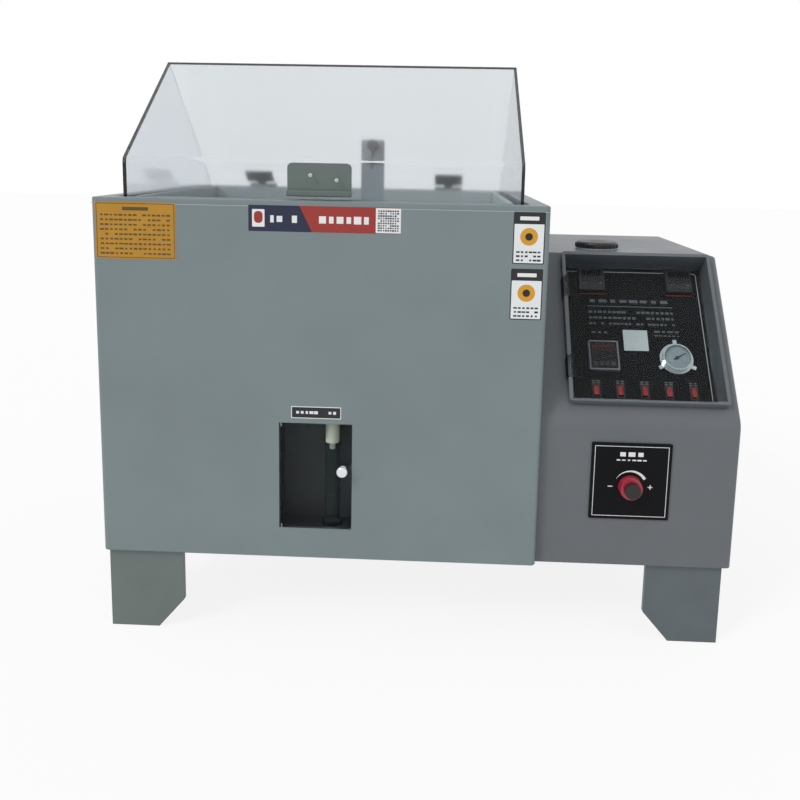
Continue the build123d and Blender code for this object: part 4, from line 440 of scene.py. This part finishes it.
def layered(name, spot, layers, body):
    """One piece of closed flat layers: material, outline or outer and inner outline, low and high level."""
    origin, across, up, out = spot
    paints = list(dict.fromkeys(layer[0] for layer in layers))
    shape = bmesh.new()

    def loop(outline, level):
        """Corners of an outline at a level over the place."""
        return [shape.verts.new(origin + (across * x + up * y + out * level) / 1000) for x, y in outline]

    for paint, outline, low, high in layers:
        if isinstance(outline, tuple):
            outer, inner = outline
            loops = [loop(outer, low), loop(outer, high), loop(inner, high), loop(inner, low)]
            walls = list(zip(loops, loops[1:] + loops[:1]))
            faces = []
        else:
            loops = [loop(outline, low), loop(outline, high)]
            walls = [loops]
            faces = [shape.faces.new(loops[1]), shape.faces.new(loops[0][::-1])]
        for first, second in walls:
            for at in range(len(first)):
                after = (at + 1) % len(first)
                faces.append(shape.faces.new((first[at], first[after], second[after], second[at])))
        for made in faces:
            made.material_index = paints.index(paint)
    mesh = bpy.data.meshes.new(name)
    shape.to_mesh(mesh)
    shape.free()
    for paint in paints:
        mesh.materials.append(paint)
    piece = bpy.data.objects.new(name, mesh)
    bpy.context.scene.collection.objects.link(piece)
    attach(piece, body)
    return piece


def repeat_tree():
    """Geometry tree that sets one small shape on every point of a mesh, with a fixed seed."""
    tree = bpy.data.node_groups.new("repeat_on_points", "GeometryNodeTree")
    face = tree.interface
    face.new_socket("Points", in_out="INPUT", socket_type="NodeSocketGeometry")
    for label, kind in (("Shape", "Object"), ("Material", "Material"), ("Keep", "Float"), ("Turn", "Float"),
                        ("Radial", "Float"), ("Least", "Vector"), ("Most", "Vector"), ("Seed", "Int")):
        face.new_socket(label, in_out="INPUT", socket_type="NodeSocket" + kind)
    face.new_socket("Made", in_out="OUTPUT", socket_type="NodeSocketGeometry")
    given = add(tree, "NodeGroupInput").outputs
    shape = add(tree, "GeometryNodeObjectInfo", links={"Object": given["Shape"]})
    kept = add(tree, "FunctionNodeRandomValue", {"data_type": "BOOLEAN"},
               links={"Probability": given["Keep"], "Seed": given["Seed"]})
    sized = add(tree, "FunctionNodeRandomValue", {"data_type": "FLOAT_VECTOR"},
                links={0: given["Least"], 1: given["Most"], "Seed": given["Seed"]})
    turned = add(tree, "FunctionNodeRandomValue", {"data_type": "FLOAT"},
                 links={3: given["Turn"], "Seed": given["Seed"]})
    spin = add(tree, "ShaderNodeCombineXYZ", links={2: turned.outputs[1]})
    at = add(tree, "GeometryNodeInputPosition")
    aimed = add(tree, "FunctionNodeAlignEulerToVector", {"axis": "Y", "pivot_axis": "Z"},
                links={"Rotation": spin.outputs[0], "Factor": given["Radial"], "Vector": at.outputs[0]})
    placed = add(tree, "GeometryNodeInstanceOnPoints",
                 links={"Points": given["Points"], "Selection": kept.outputs[3],
                        "Instance": shape.outputs["Geometry"], "Rotation": aimed.outputs[0],
                        "Scale": sized.outputs[0]})
    real = add(tree, "GeometryNodeRealizeInstances", links={"Geometry": placed.outputs[0]})
    painted = add(tree, "GeometryNodeSetMaterial",
                  links={"Geometry": real.outputs[0], "Material": given["Material"]})
    add(tree, "NodeGroupOutput", links={0: painted.outputs[0]})
    return tree


repeat_on_points = repeat_tree()


def repeated(name, spot, points, shape, paint, body, level=0.0, keep=1.0, turn=0.0, radial=0.0,
             least=(1, 1, 1), most=(1, 1, 1), centre=(0, 0), seed=3):
    """Set a small shape on points of a flat place, by the geometry tree, as one plain mesh."""
    origin, across, up, out = spot
    mesh = bpy.data.meshes.new(name)
    mesh.from_pydata([((x - centre[0]) / 1000, (y - centre[1]) / 1000, 0) for x, y in points], [], [])
    carrier = bpy.data.objects.new(name, mesh)
    for made in (carrier, shape):
        bpy.context.scene.collection.objects.link(made)
    work = carrier.modifiers.new("repeat", "NODES")
    work.node_group = repeat_on_points
    values = {"Shape": shape, "Material": paint, "Keep": keep, "Turn": turn, "Radial": radial,
              "Least": least, "Most": most, "Seed": seed}
    for item in repeat_on_points.interface.items_tree:
        if item.name in values:
            work[item.identifier] = values[item.name]
    state = bpy.context.evaluated_depsgraph_get()
    plain = bpy.data.meshes.new_from_object(carrier.evaluated_get(state))
    carrier.modifiers.clear()
    carrier.data = plain
    plain.name = name
    bpy.data.objects.remove(shape)
    start = origin + (across * centre[0] + up * centre[1] + out * level) / 1000
    plain.transform(Matrix.Translation(start) @ Matrix((across, up, out)).transposed().to_4x4())
    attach(carrier, body)
    return carrier


def small_box(width, height, depth):
    """Closed box that stands on its own base, in millimetres."""
    mesh = bpy.data.meshes.new("small_box")
    shape = bmesh.new()
    bmesh.ops.create_cube(shape, size=1)
    for corner in shape.verts:
        corner.co = (corner.co.x * width / 1000, corner.co.y * height / 1000,
                     (corner.co.z + 0.5) * depth / 1000)
    shape.to_mesh(mesh)
    shape.free()
    return bpy.data.objects.new("small_box", mesh)


bar_thick = 0.08
bar_kept = 0.9
bar_least = (0.45, 0.8, 1)
bar_most = (0.92, 1, 1)


def bars(name, spot, box, rows, columns, tall, paint, seed, level):
    """Rows of short bars of print inside a box: left, low, right and high, in millimetres."""
    left, low, right, high = box
    step_x = (right - left) / columns
    step_y = (high - low) / max(rows - 1, 1)
    points = [(left + (c + 0.5) * step_x, high - r * step_y) for r in range(rows) for c in range(columns)]
    return repeated(name, spot, points, small_box(step_x, tall, bar_thick), paint, "cabinet",
                    level=level, keep=bar_kept, least=bar_least, most=bar_most, seed=seed)


tank_low, tank_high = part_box("outer_tank")
upright = Vector((0, 0, 1))
tank_face = spot_at(Vector((0, tank_low.y, 0)), upright)
yellow_vinyl = moulded("yellow_vinyl", "#b8851b", "#a67612",
                       roughness=0.4, patch_mm=30, grain_mm=0.7, bump=0.02)
brown_ink = moulded("brown_ink", "#5a4312", "#4a370e", roughness=0.5, patch_mm=10, grain_mm=0.5, bump=0.02)
navy_ink = moulded("navy_ink", "#0f1c3f", "#0a1430", roughness=0.35, patch_mm=40, grain_mm=0.6, bump=0.02)
red_ink = moulded("red_ink", "#a02d26", "#8b231d", roughness=0.35, patch_mm=40, grain_mm=0.6, bump=0.02)
white_vinyl = moulded("white_vinyl", "#e6e8e8", "#d9dbdb",
                      roughness=0.4, patch_mm=30, grain_mm=0.6, bump=0.02)
black_ink = moulded("black_ink", "#17181a", "#101113", roughness=0.4, patch_mm=20, grain_mm=0.5, bump=0.02)
amber_ink = moulded("amber_ink", "#d79a22", "#c78a18", roughness=0.4, patch_mm=14, grain_mm=0.5, bump=0.02)

# Low and high level of each film and ink over the sheet: films that lap stand a little over each other.
film = (0, 0.25)
lapped_film = (0.02, 0.27)
end_film = (0.05, 0.31)
field_ink = (0.2, 0.33)
line_ink = (0.25, 0.33)
spot_ink = (0.3, 0.38)
disc_ink = (0.3, 0.4)
core_ink = (0.38, 0.46)
plate_film = (0, 0.4)
plate_field = (0.3, 0.5)

yellow_left, yellow_low, yellow_right, yellow_high = -527, 646, -396, 738
layered("yellow_card", tank_face, [
    (yellow_vinyl, rounded(yellow_left, yellow_low, yellow_right, yellow_high, 1.5), *film),
] + [(brown_ink, bar, *line_ink) for bar in frame_bars(
    yellow_left + 2, yellow_low + 2, yellow_right - 2, yellow_high - 2, width=1, radius=0.4)
] + [
    (brown_ink, rounded(yellow_left + 45, yellow_high - 13.5, yellow_left + 87, yellow_high - 8, 0.6),
     *line_ink),
], "cabinet")
bars("yellow_card_lines", tank_face, (yellow_left + 7, yellow_low + 9, yellow_right - 8, yellow_high - 21),
     rows=9, columns=15, tall=3.0, paint=brown_ink, seed=5, level=line_ink[0])

banner_left, banner_low, banner_right, banner_high = -278, 696, -35, 737.5
banner_split = (-196, -176)
banner_end = -74
layered("banner", tank_face, [
    (navy_ink, rounded(banner_left, banner_low, -166, banner_high, 1), *film),
    (red_ink, [(banner_split[1], banner_low), (banner_right, banner_low), (banner_right, banner_high),
               (banner_split[0], banner_high)], *lapped_film),
    (white_vinyl, rounded(banner_end, banner_low + 1, banner_right + 1, banner_high - 1, 1), *end_film),
    (white_vinyl, rounded(banner_left + 6, banner_low + 7, banner_left + 26, banner_high - 6.5, 1),
     *field_ink),
    (red_ink, rounded(banner_left + 9, banner_low + 13, banner_left + 23, banner_high - 9.5, 6), *spot_ink),
], "cabinet")
bars("banner_blocks", tank_face, (-246, 716, -186, 716), rows=1, columns=5, tall=12, paint=white_vinyl,
     seed=8, level=lapped_film[1])
bars("banner_marks", tank_face, (-166, 716, -82, 716), rows=1, columns=6, tall=13, paint=white_vinyl,
     seed=9, level=0.29)
bars("banner_code", tank_face, (banner_end + 3, 701, banner_right - 2, 732), rows=9, columns=9, tall=2.8,
     paint=black_ink, seed=10, level=end_film[1])

white_cards = ((144, 653, 194, 735.5), (143, 563, 193.5, 645.3))
card_border = 1.6
card_header = 19
disc_drop, disc_radius, core_radius = 39, 14, 6
for number, (left, low, right, high) in enumerate(white_cards, start=1):
    middle = (left + right) / 2
    layered("white_card_%d" % number, tank_face, [
        (black_ink, rounded(left, low, right, high, 2), *film),
        (white_vinyl, rounded(left + card_border, low + card_border, right - card_border,
                              high - card_header, 1), *field_ink),
        (amber_ink, disc(middle, high - disc_drop, disc_radius), *disc_ink),
        (black_ink, disc(middle, high - disc_drop, core_radius), *core_ink),
        (white_vinyl, rounded(left + 10, high - 13, right - 10, high - 7, 0.8), *line_ink),
    ], "cabinet")
    bars("white_card_lines_%d" % number, tank_face, (left + 5, low + 6, right - 5, low + card_header),
         rows=3, columns=6, tall=3.2, paint=black_ink, seed=20 + number, level=field_ink[1])

plate_left, plate_bottom, plate_right, plate_top = -210, 387.5, -127, 408
plate_border = 1.4
layered("small_plate", tank_face, [
    (white_vinyl, rounded(plate_left, plate_bottom, plate_right, plate_top, 1), *plate_film),
    (black_ink, rounded(plate_left + plate_border, plate_bottom + plate_border, plate_right - plate_border,
                        plate_top - plate_border, 0.8), *plate_field),
], "cabinet")
bars("small_plate_lines", tank_face, (plate_left + 7, 397.8, plate_right - 7, 397.8), rows=1, columns=9,
     tall=5.5, paint=white_vinyl, seed=31, level=plate_field[1])

# Regulator plate print
# White screen print on the black plate: a frame, two short lines and an arc round the knob that widens from a
# minus sign on its left to a plus sign on its right. The print is thin and matt.
regulator_low, regulator_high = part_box("regulator_plate")
knob_low, knob_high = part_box("regulator_knob")
plate_face = spot_at(Vector((0, regulator_low.y, 0)), upright)
knob_x = (knob_low.x + knob_high.x) * 500
knob_z = (knob_low.z + knob_high.z) * 500
plate_margin = 5
frame_left, frame_right = regulator_low.x * 1000 + plate_margin, regulator_high.x * 1000 - plate_margin
frame_low, frame_high = regulator_low.z * 1000 + plate_margin, regulator_high.z * 1000 - plate_margin
plate_print = (0, 0.1)
sign_reach, sign_half, sign_stroke = 33, 4, 0.8
arc_radius, arc_start, arc_sweep, arc_steps = 27, 150, 120, 24
arc_thin, arc_growth = 0.5, 4.5
marks = frame_bars(frame_left, frame_low, frame_right, frame_high, width=1, radius=0.3)
for sign in (-1, 1):
    marks.append(rounded(knob_x + sign * sign_reach - sign_half, knob_z - sign_stroke,
                         knob_x + sign * sign_reach + sign_half, knob_z + sign_stroke, 0.3))
for below, above in ((-sign_half, -sign_stroke), (sign_stroke, sign_half)):
    marks.append(rounded(knob_x + sign_reach - sign_stroke, knob_z + below,
                         knob_x + sign_reach + sign_stroke, knob_z + above, 0.3))
outer_arc, inner_arc = [], []
for step in range(arc_steps + 1):
    turned = math.radians(arc_start - arc_sweep * step / arc_steps)
    thick = arc_thin + arc_growth * step / arc_steps
    for arc, reach in ((outer_arc, arc_radius + thick / 2), (inner_arc, arc_radius - thick / 2)):
        arc.append((knob_x + reach * math.cos(turned), knob_z + reach * math.sin(turned)))
marks.append(inner_arc + outer_arc[::-1])
layered("regulator_print", plate_face, [(white_vinyl, mark, *plate_print) for mark in marks], "cabinet")
for name, half, drop, columns, tall, seed in (("regulator_heading", 22, 14, 3, 8, 41),
                                              ("regulator_lines", 26, 24, 6, 2.6, 42)):
    bars(name, plate_face, (knob_x - half, frame_high - drop, knob_x + half, frame_high - drop), rows=1,
         columns=columns, tall=tall, paint=white_vinyl, seed=seed, level=0)

# Regulator knob
# Compression-moulded phenolic with a black core inside a cast red ring, so the front is satin black in the
# middle and glossy red at the rim. The ring's colour is a little streaky.
core_reach = (0.0128, 0.0136)
knob_finish, knob_tree, knob_shader, knob_place = new_material("black_and_red_phenolic")
from_axis = add(knob_tree, "ShaderNodeVectorMath", {"operation": "SUBTRACT"},
                {1: (knob_x / 1000, 0, knob_z / 1000)}, {0: knob_place})
flat_place = add(knob_tree, "ShaderNodeVectorMath", {"operation": "MULTIPLY"}, {1: (1, 0, 1)},
                 {0: from_axis.outputs[0]})
ring_reach = add(knob_tree, "ShaderNodeVectorMath", {"operation": "LENGTH"},
                 links={0: flat_place.outputs[0]})
in_ring = add(knob_tree, "ShaderNodeMapRange", values={1: core_reach[0], 2: core_reach[1]},
              links={0: ring_reach.outputs["Value"]})
streaks = add(knob_tree, "ShaderNodeTexNoise", values={"Scale": 90, "Detail": 2},
              links={"Vector": knob_place})
red_part = add(knob_tree, "ShaderNodeMix", {"data_type": "RGBA"},
               {6: colour("#8e1c2b"), 7: colour("#b5364a")}, {0: streaks.outputs["Fac"]})
knob_tone = add(knob_tree, "ShaderNodeMix", {"data_type": "RGBA"}, {6: colour("#121214")},
                {0: in_ring.outputs[0], 7: red_part.outputs[2]})
knob_tree.links.new(knob_tone.outputs[2], knob_shader.inputs["Base Color"])
knob_rough = add(knob_tree, "ShaderNodeMapRange", values={3: 0.4, 4: 0.16}, links={0: in_ring.outputs[0]})
knob_tree.links.new(knob_rough.outputs[0], knob_shader.inputs["Roughness"])
knob_eased = add(knob_tree, "ShaderNodeBevel", {"samples": 4}, {"Radius": 0.0008})
knob_tree.links.new(knob_eased.outputs[0], knob_shader.inputs["Normal"])
dress(knob_finish, "regulator_knob")

# Panel print
# Pale screen print on the sunk black panel: a thin frame, a title rule, a bare pale square, a red line under
# each controller and rows of bars. Its measures run across from the panel's middle and up the slope.
slope_up = -Vector(next(j["axis"] for j in frame["joints"] if j["name"] == "cover_hinge"))
slope_out = Vector(cover_normal)
slope = (Vector((0, 0, 0)), Vector((1, 0, 0)), slope_up, slope_out)


def slope_box(node):
    """Lowest and highest place of a node across, up and out of the slope, in millimetres."""
    corners = frame["nodes"][node].data.vertices
    spans = [[1000 * corner.co.dot(way) for corner in corners] for way in slope[1:]]
    return [min(span) for span in spans], [max(span) for span in spans]


panel_low, panel_high = slope_box("control_panel")
gauge_low, gauge_high = slope_box("gauge_case")
gauge_middle = ((gauge_low[0] + gauge_high[0]) / 2, (gauge_low[1] + gauge_high[1]) / 2)
gauge_across, gauge_along = 80, 131
panel_x = gauge_middle[0] - gauge_across
panel_y = gauge_middle[1] - gauge_along
panel_level = panel_high[2]
pale_print = moulded("pale_print", "#8d9194", "#7c8083", roughness=0.5, patch_mm=12, grain_mm=0.5, bump=0.02)
bright_print = moulded("bright_print", "#c3c7c9", "#b4b8ba",
                       roughness=0.5, patch_mm=12, grain_mm=0.5, bump=0.02)
dim_print = moulded("dim_print", "#5d6164", "#4f5356", roughness=0.5, patch_mm=12, grain_mm=0.5, bump=0.02)
red_line = moulded("red_line", "#a3262b", "#8b1c21", roughness=0.4, patch_mm=12, grain_mm=0.5, bump=0.02)
panel_ink = (panel_level, panel_level + 0.1)
square_ink = (panel_level, panel_level + 0.2)
frame_inset, frame_width, frame_corner = 7, 1.2, 6
frame_box = (panel_low[0] + frame_inset, panel_low[1] + frame_inset,
             panel_high[0] - frame_inset, panel_high[1] - frame_inset)
inner_box = (frame_box[0] + frame_width, frame_box[1] + frame_width,
             frame_box[2] - frame_width, frame_box[3] - frame_width)
line_drop = (3.4, 2)
controllers = [(side, *slope_box("controller_" + side)) for side in ("left", "right")]


def on_panel(left, low, right, high):
    """A box of the panel's own measures, moved to where the panel is on the slope."""
    return panel_x + left, panel_y + low, panel_x + right, panel_y + high


layered("panel_print", slope, [
    (bright_print, (rounded(*frame_box, frame_corner), rounded(*inner_box, frame_corner - frame_width)),
     *panel_ink),
    (pale_print, rounded(*on_panel(-68, 228.6, 84, 229.4), 0.2), *panel_ink),
    (bright_print, rounded(*on_panel(-9, 141.5, 34, 182), 0.5), *square_ink),
] + [(red_line, rounded(low[0], low[1] - line_drop[0], high[0], low[1] - line_drop[1], 0.4), *panel_ink)
     for side, low, high in controllers], "cabinet")
panel_rows = ((-68, 240, 79, 8, 7), (-68, 217.5, 86, 18, 5), (-68, 205.7, 86, 18, 5), (-68, 194, 86, 22, 4),
              (46, 180, 92, 4, 3.4), (46, 172, 92, 6, 2.4), (-66, 176, -34, 3, 4))
for number, (left, along, right, columns, tall) in enumerate(panel_rows):
    bars("panel_words_%d" % number, slope, on_panel(left, along, right, along), rows=1, columns=columns,
         tall=tall, paint=dim_print, seed=50 + number, level=panel_level)
rocker_marks = []
for number in range(1, 6):
    low, high = slope_box("rocker_%d" % number)
    middle = (low[0] + high[0]) / 2
    rocker_marks += [(middle + side, high[1] + rise) for rise in (9, 5) for side in (-4, 4)]
repeated("rocker_names", slope, rocker_marks, small_box(7, 2.6, bar_thick), dim_print, "cabinet",
         level=panel_level, least=(0.6, 0.8, 1), seed=61)

# Controller and timer faces
# Smoked polycarbonate windows over dead displays, with small rubber keys under them. Switched off, they show
# only as darker, glossier fields. The timer's upper display has a reddish filter, and its case shows round
# the face as a pale frame, the painted sheen of its clear frame.
smoked_window = moulded("smoked_window", "#0a0a0c", "#060607",
                        roughness=0.12, patch_mm=30, grain_mm=0.6, bump=0.0, gloss=0.3)
red_filter = moulded("red_filter", "#3a1216", "#2b0c10",
                     roughness=0.14, patch_mm=30, grain_mm=0.6, bump=0.0, gloss=0.3)
rubber_key = moulded("rubber_key", "#303236", "#26282b", roughness=0.6, patch_mm=6, grain_mm=0.4, bump=0.05)


def key_row(left, base, width, height, step, low, high):
    """Four rounded keys in a row: first corner, size, spacing, low and high level."""
    return [(rubber_key, rounded(left + step * key, base, left + step * key + width, base + height, 1),
             low, high) for key in range(4)]


for side, low, high in controllers:
    left, base, face = low[0], low[1], high[2]
    layered("controller_face_" + side, slope, [
        (smoked_window, rounded(left + 5, base + 17, high[0] - 5, high[1] - 5, 1.2), face, face + 0.35),
        (dim_print, rounded(left + 7, base + 14.4, left + 15, base + 15.4, 0.2), face, face + 0.15),
        (pale_print, rounded(high[0] - 10, base + 14.2, high[0] - 6.5, base + 15.6, 0.4), face, face + 0.15),
    ] + key_row(left + 6, base + 6, 6.8, 4.5, 9.6, face, face + 0.9), "cabinet")
timer_low, timer_high = slope_box("timer")
timer_frame = 2.6
face = timer_high[2]
layered("timer_face", slope, [
    (smoked_window, rounded(timer_low[0] + timer_frame, timer_low[1] + timer_frame,
                            timer_high[0] - timer_frame, timer_high[1] - timer_frame, 1), face, face + 0.3),
    (red_filter, rounded(timer_low[0] + 6, timer_high[1] - 20, timer_high[0] - 6, timer_high[1] - 6, 0.8),
     face + 0.25, face + 0.5),
] + key_row(timer_low[0] + 7, timer_low[1] + 8, 8, 7, 10, face + 0.25, face + 1), "cabinet")

# Gauge dial
# White enamelled aluminium under the pointer, satin, and coloured slightly grey as painted shade behind the
# lens.
# Its printed scale covers three quarters of a turn, with a coarse tick at every fifth.
dial_shaded_white = moulded("dial_enamel", "#b9bdc2", "#acb0b5",
                     roughness=0.4, patch_mm=20, grain_mm=0.5, bump=0.02)
pointer_low = slope_box("gauge_pointer")[0]
lens_low, lens_high = slope_box("gauge_lens")
dial_radius = (lens_high[0] - lens_low[0]) / 2 - 0.6
dial_level = pointer_low[2] - 0.1
dial_thick = 0.4
tick_thick = 0.05
scale_start, scale_sweep = 225, 270
layered("gauge_dial", slope,
        [(dial_shaded_white, disc(*gauge_middle, dial_radius, 48), dial_level - dial_thick, dial_level)],
        "cabinet")
dial_ticks = (("dial_fine", 31, 0.86, 0.35, 1.8), ("dial_coarse", 7, 0.82, 0.7, 3.2))
for name, count, share, width, length in dial_ticks:
    reach = dial_radius * share
    turns = [math.radians(scale_start - scale_sweep * tick / (count - 1)) for tick in range(count)]
    ticks = [(gauge_middle[0] + reach * math.cos(t), gauge_middle[1] + reach * math.sin(t)) for t in turns]
    repeated(name, slope, ticks, small_box(width, length, tick_thick), black_ink, "cabinet",
             level=dial_level, radial=1, centre=gauge_middle)


# Screws
# Pale nylon cross-head screws hold the lid's handle, and zinc-plated ones the rear service panel. The heads
# are turned to where they stopped, so their crosses stand at odd angles.
def screw_head(radius):
    """Domed screw head with a cross recess cut into it."""
    sides = 24
    dome = ((1, 0), (1, 0.22), (0.82, 0.42), (0.5, 0.52))
    arm_reach, arm_lift = 0.42, 0.52
    web_reach, web_lift = 0.14, 0.5
    deep_share, deep_lift = 0.8, 0.12
    mesh = bpy.data.meshes.new("screw_head")
    shape = bmesh.new()

    def corner(side, reach, lift):
        """Corner at a share of the radius from the axis and over the base."""
        angle = 2 * math.pi * side / sides
        return shape.verts.new((radius * reach * math.cos(angle) / 1000,
                                radius * reach * math.sin(angle) / 1000, radius * lift / 1000))

    def wall(lower, upper, side):
        """One face between two rings of corners."""
        after = (side + 1) % sides
        shape.faces.new((lower[side], lower[after], upper[after], upper[side]))

    rings = [[corner(side, reach, lift) for side in range(sides)] for reach, lift in dome]
    for lower, upper in zip(rings, rings[1:]):
        for side in range(sides):
            wall(lower, upper, side)
    cross = [corner(side, *((arm_reach, arm_lift) if side % 6 in (0, 1, 5) else (web_reach, web_lift)))
             for side in range(sides)]
    deep = [shape.verts.new((v.co.x * deep_share, v.co.y * deep_share, radius * deep_lift / 1000))
            for v in cross]
    for side in range(sides):
        wall(rings[-1], cross, side)
        wall(cross, deep, side)
    shape.faces.new(deep)
    shape.faces.new(rings[0][::-1])
    shape.to_mesh(mesh)
    shape.free()
    return bpy.data.objects.new("screw_head", mesh)


nylon_screw = moulded("white_nylon", "#cfd3d2", "#bfc3c2", roughness=0.4, patch_mm=6, grain_mm=0.4)
zinc_screw = metal("zinc_plate", "#b6b9ba", "#989c9e", roughness=0.3, line_mm=0.4, across=(1, 1, 1))
handle_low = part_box("lid_handle")[0]
handle_face = spot_at(Vector((0, handle_low.y, 0)), upright)
handle_screws = [(-182.4, 785.4), (-139.9, 778.1)]
repeated("handle_screws", handle_face, handle_screws, screw_head(3.2), nylon_screw, "lid",
         turn=1.2)
service_low, service_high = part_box("service_panel")
rear_face = (Vector((0, service_high.y, 0)), Vector((-1, 0, 0)), upright, Vector((0, 1, 0)))
screw_inset = 0.009
service_screws = [(-1000 * x, 1000 * z) for x in (service_low.x + screw_inset, service_high.x - screw_inset)
                  for z in (service_low.z + screw_inset, (service_low.z + service_high.z) / 2,
                            service_high.z - screw_inset)]
repeated("service_screws", rear_face, service_screws, screw_head(3.6), zinc_screw, "cabinet",
         turn=1.5)

# Tank's front edge highlight
# The top sheet's sawn edge is matt and paler than the extruded face, and it catches the light. A pale strip
# painted along the front of the tank, just under the top, is a painted highlight over that paler edge.
edge_highlight_paint = moulded("painted_edge_highlight", "#a3adae", "#949ea0",
                    roughness=0.5, patch_mm=40, grain_mm=0.8, bump=0.03)
edge_drop = (2, 0.6)
edge_inset = 1
edge_proud = 0.15
layered("front_edge", tank_face, [
    (edge_highlight_paint, rounded(1000 * tank_low.x + edge_inset, 1000 * tank_high.z - edge_drop[0],
                        1000 * tank_high.x - edge_inset, 1000 * tank_high.z - edge_drop[1], 0.3),
     0, edge_proud)], "cabinet")
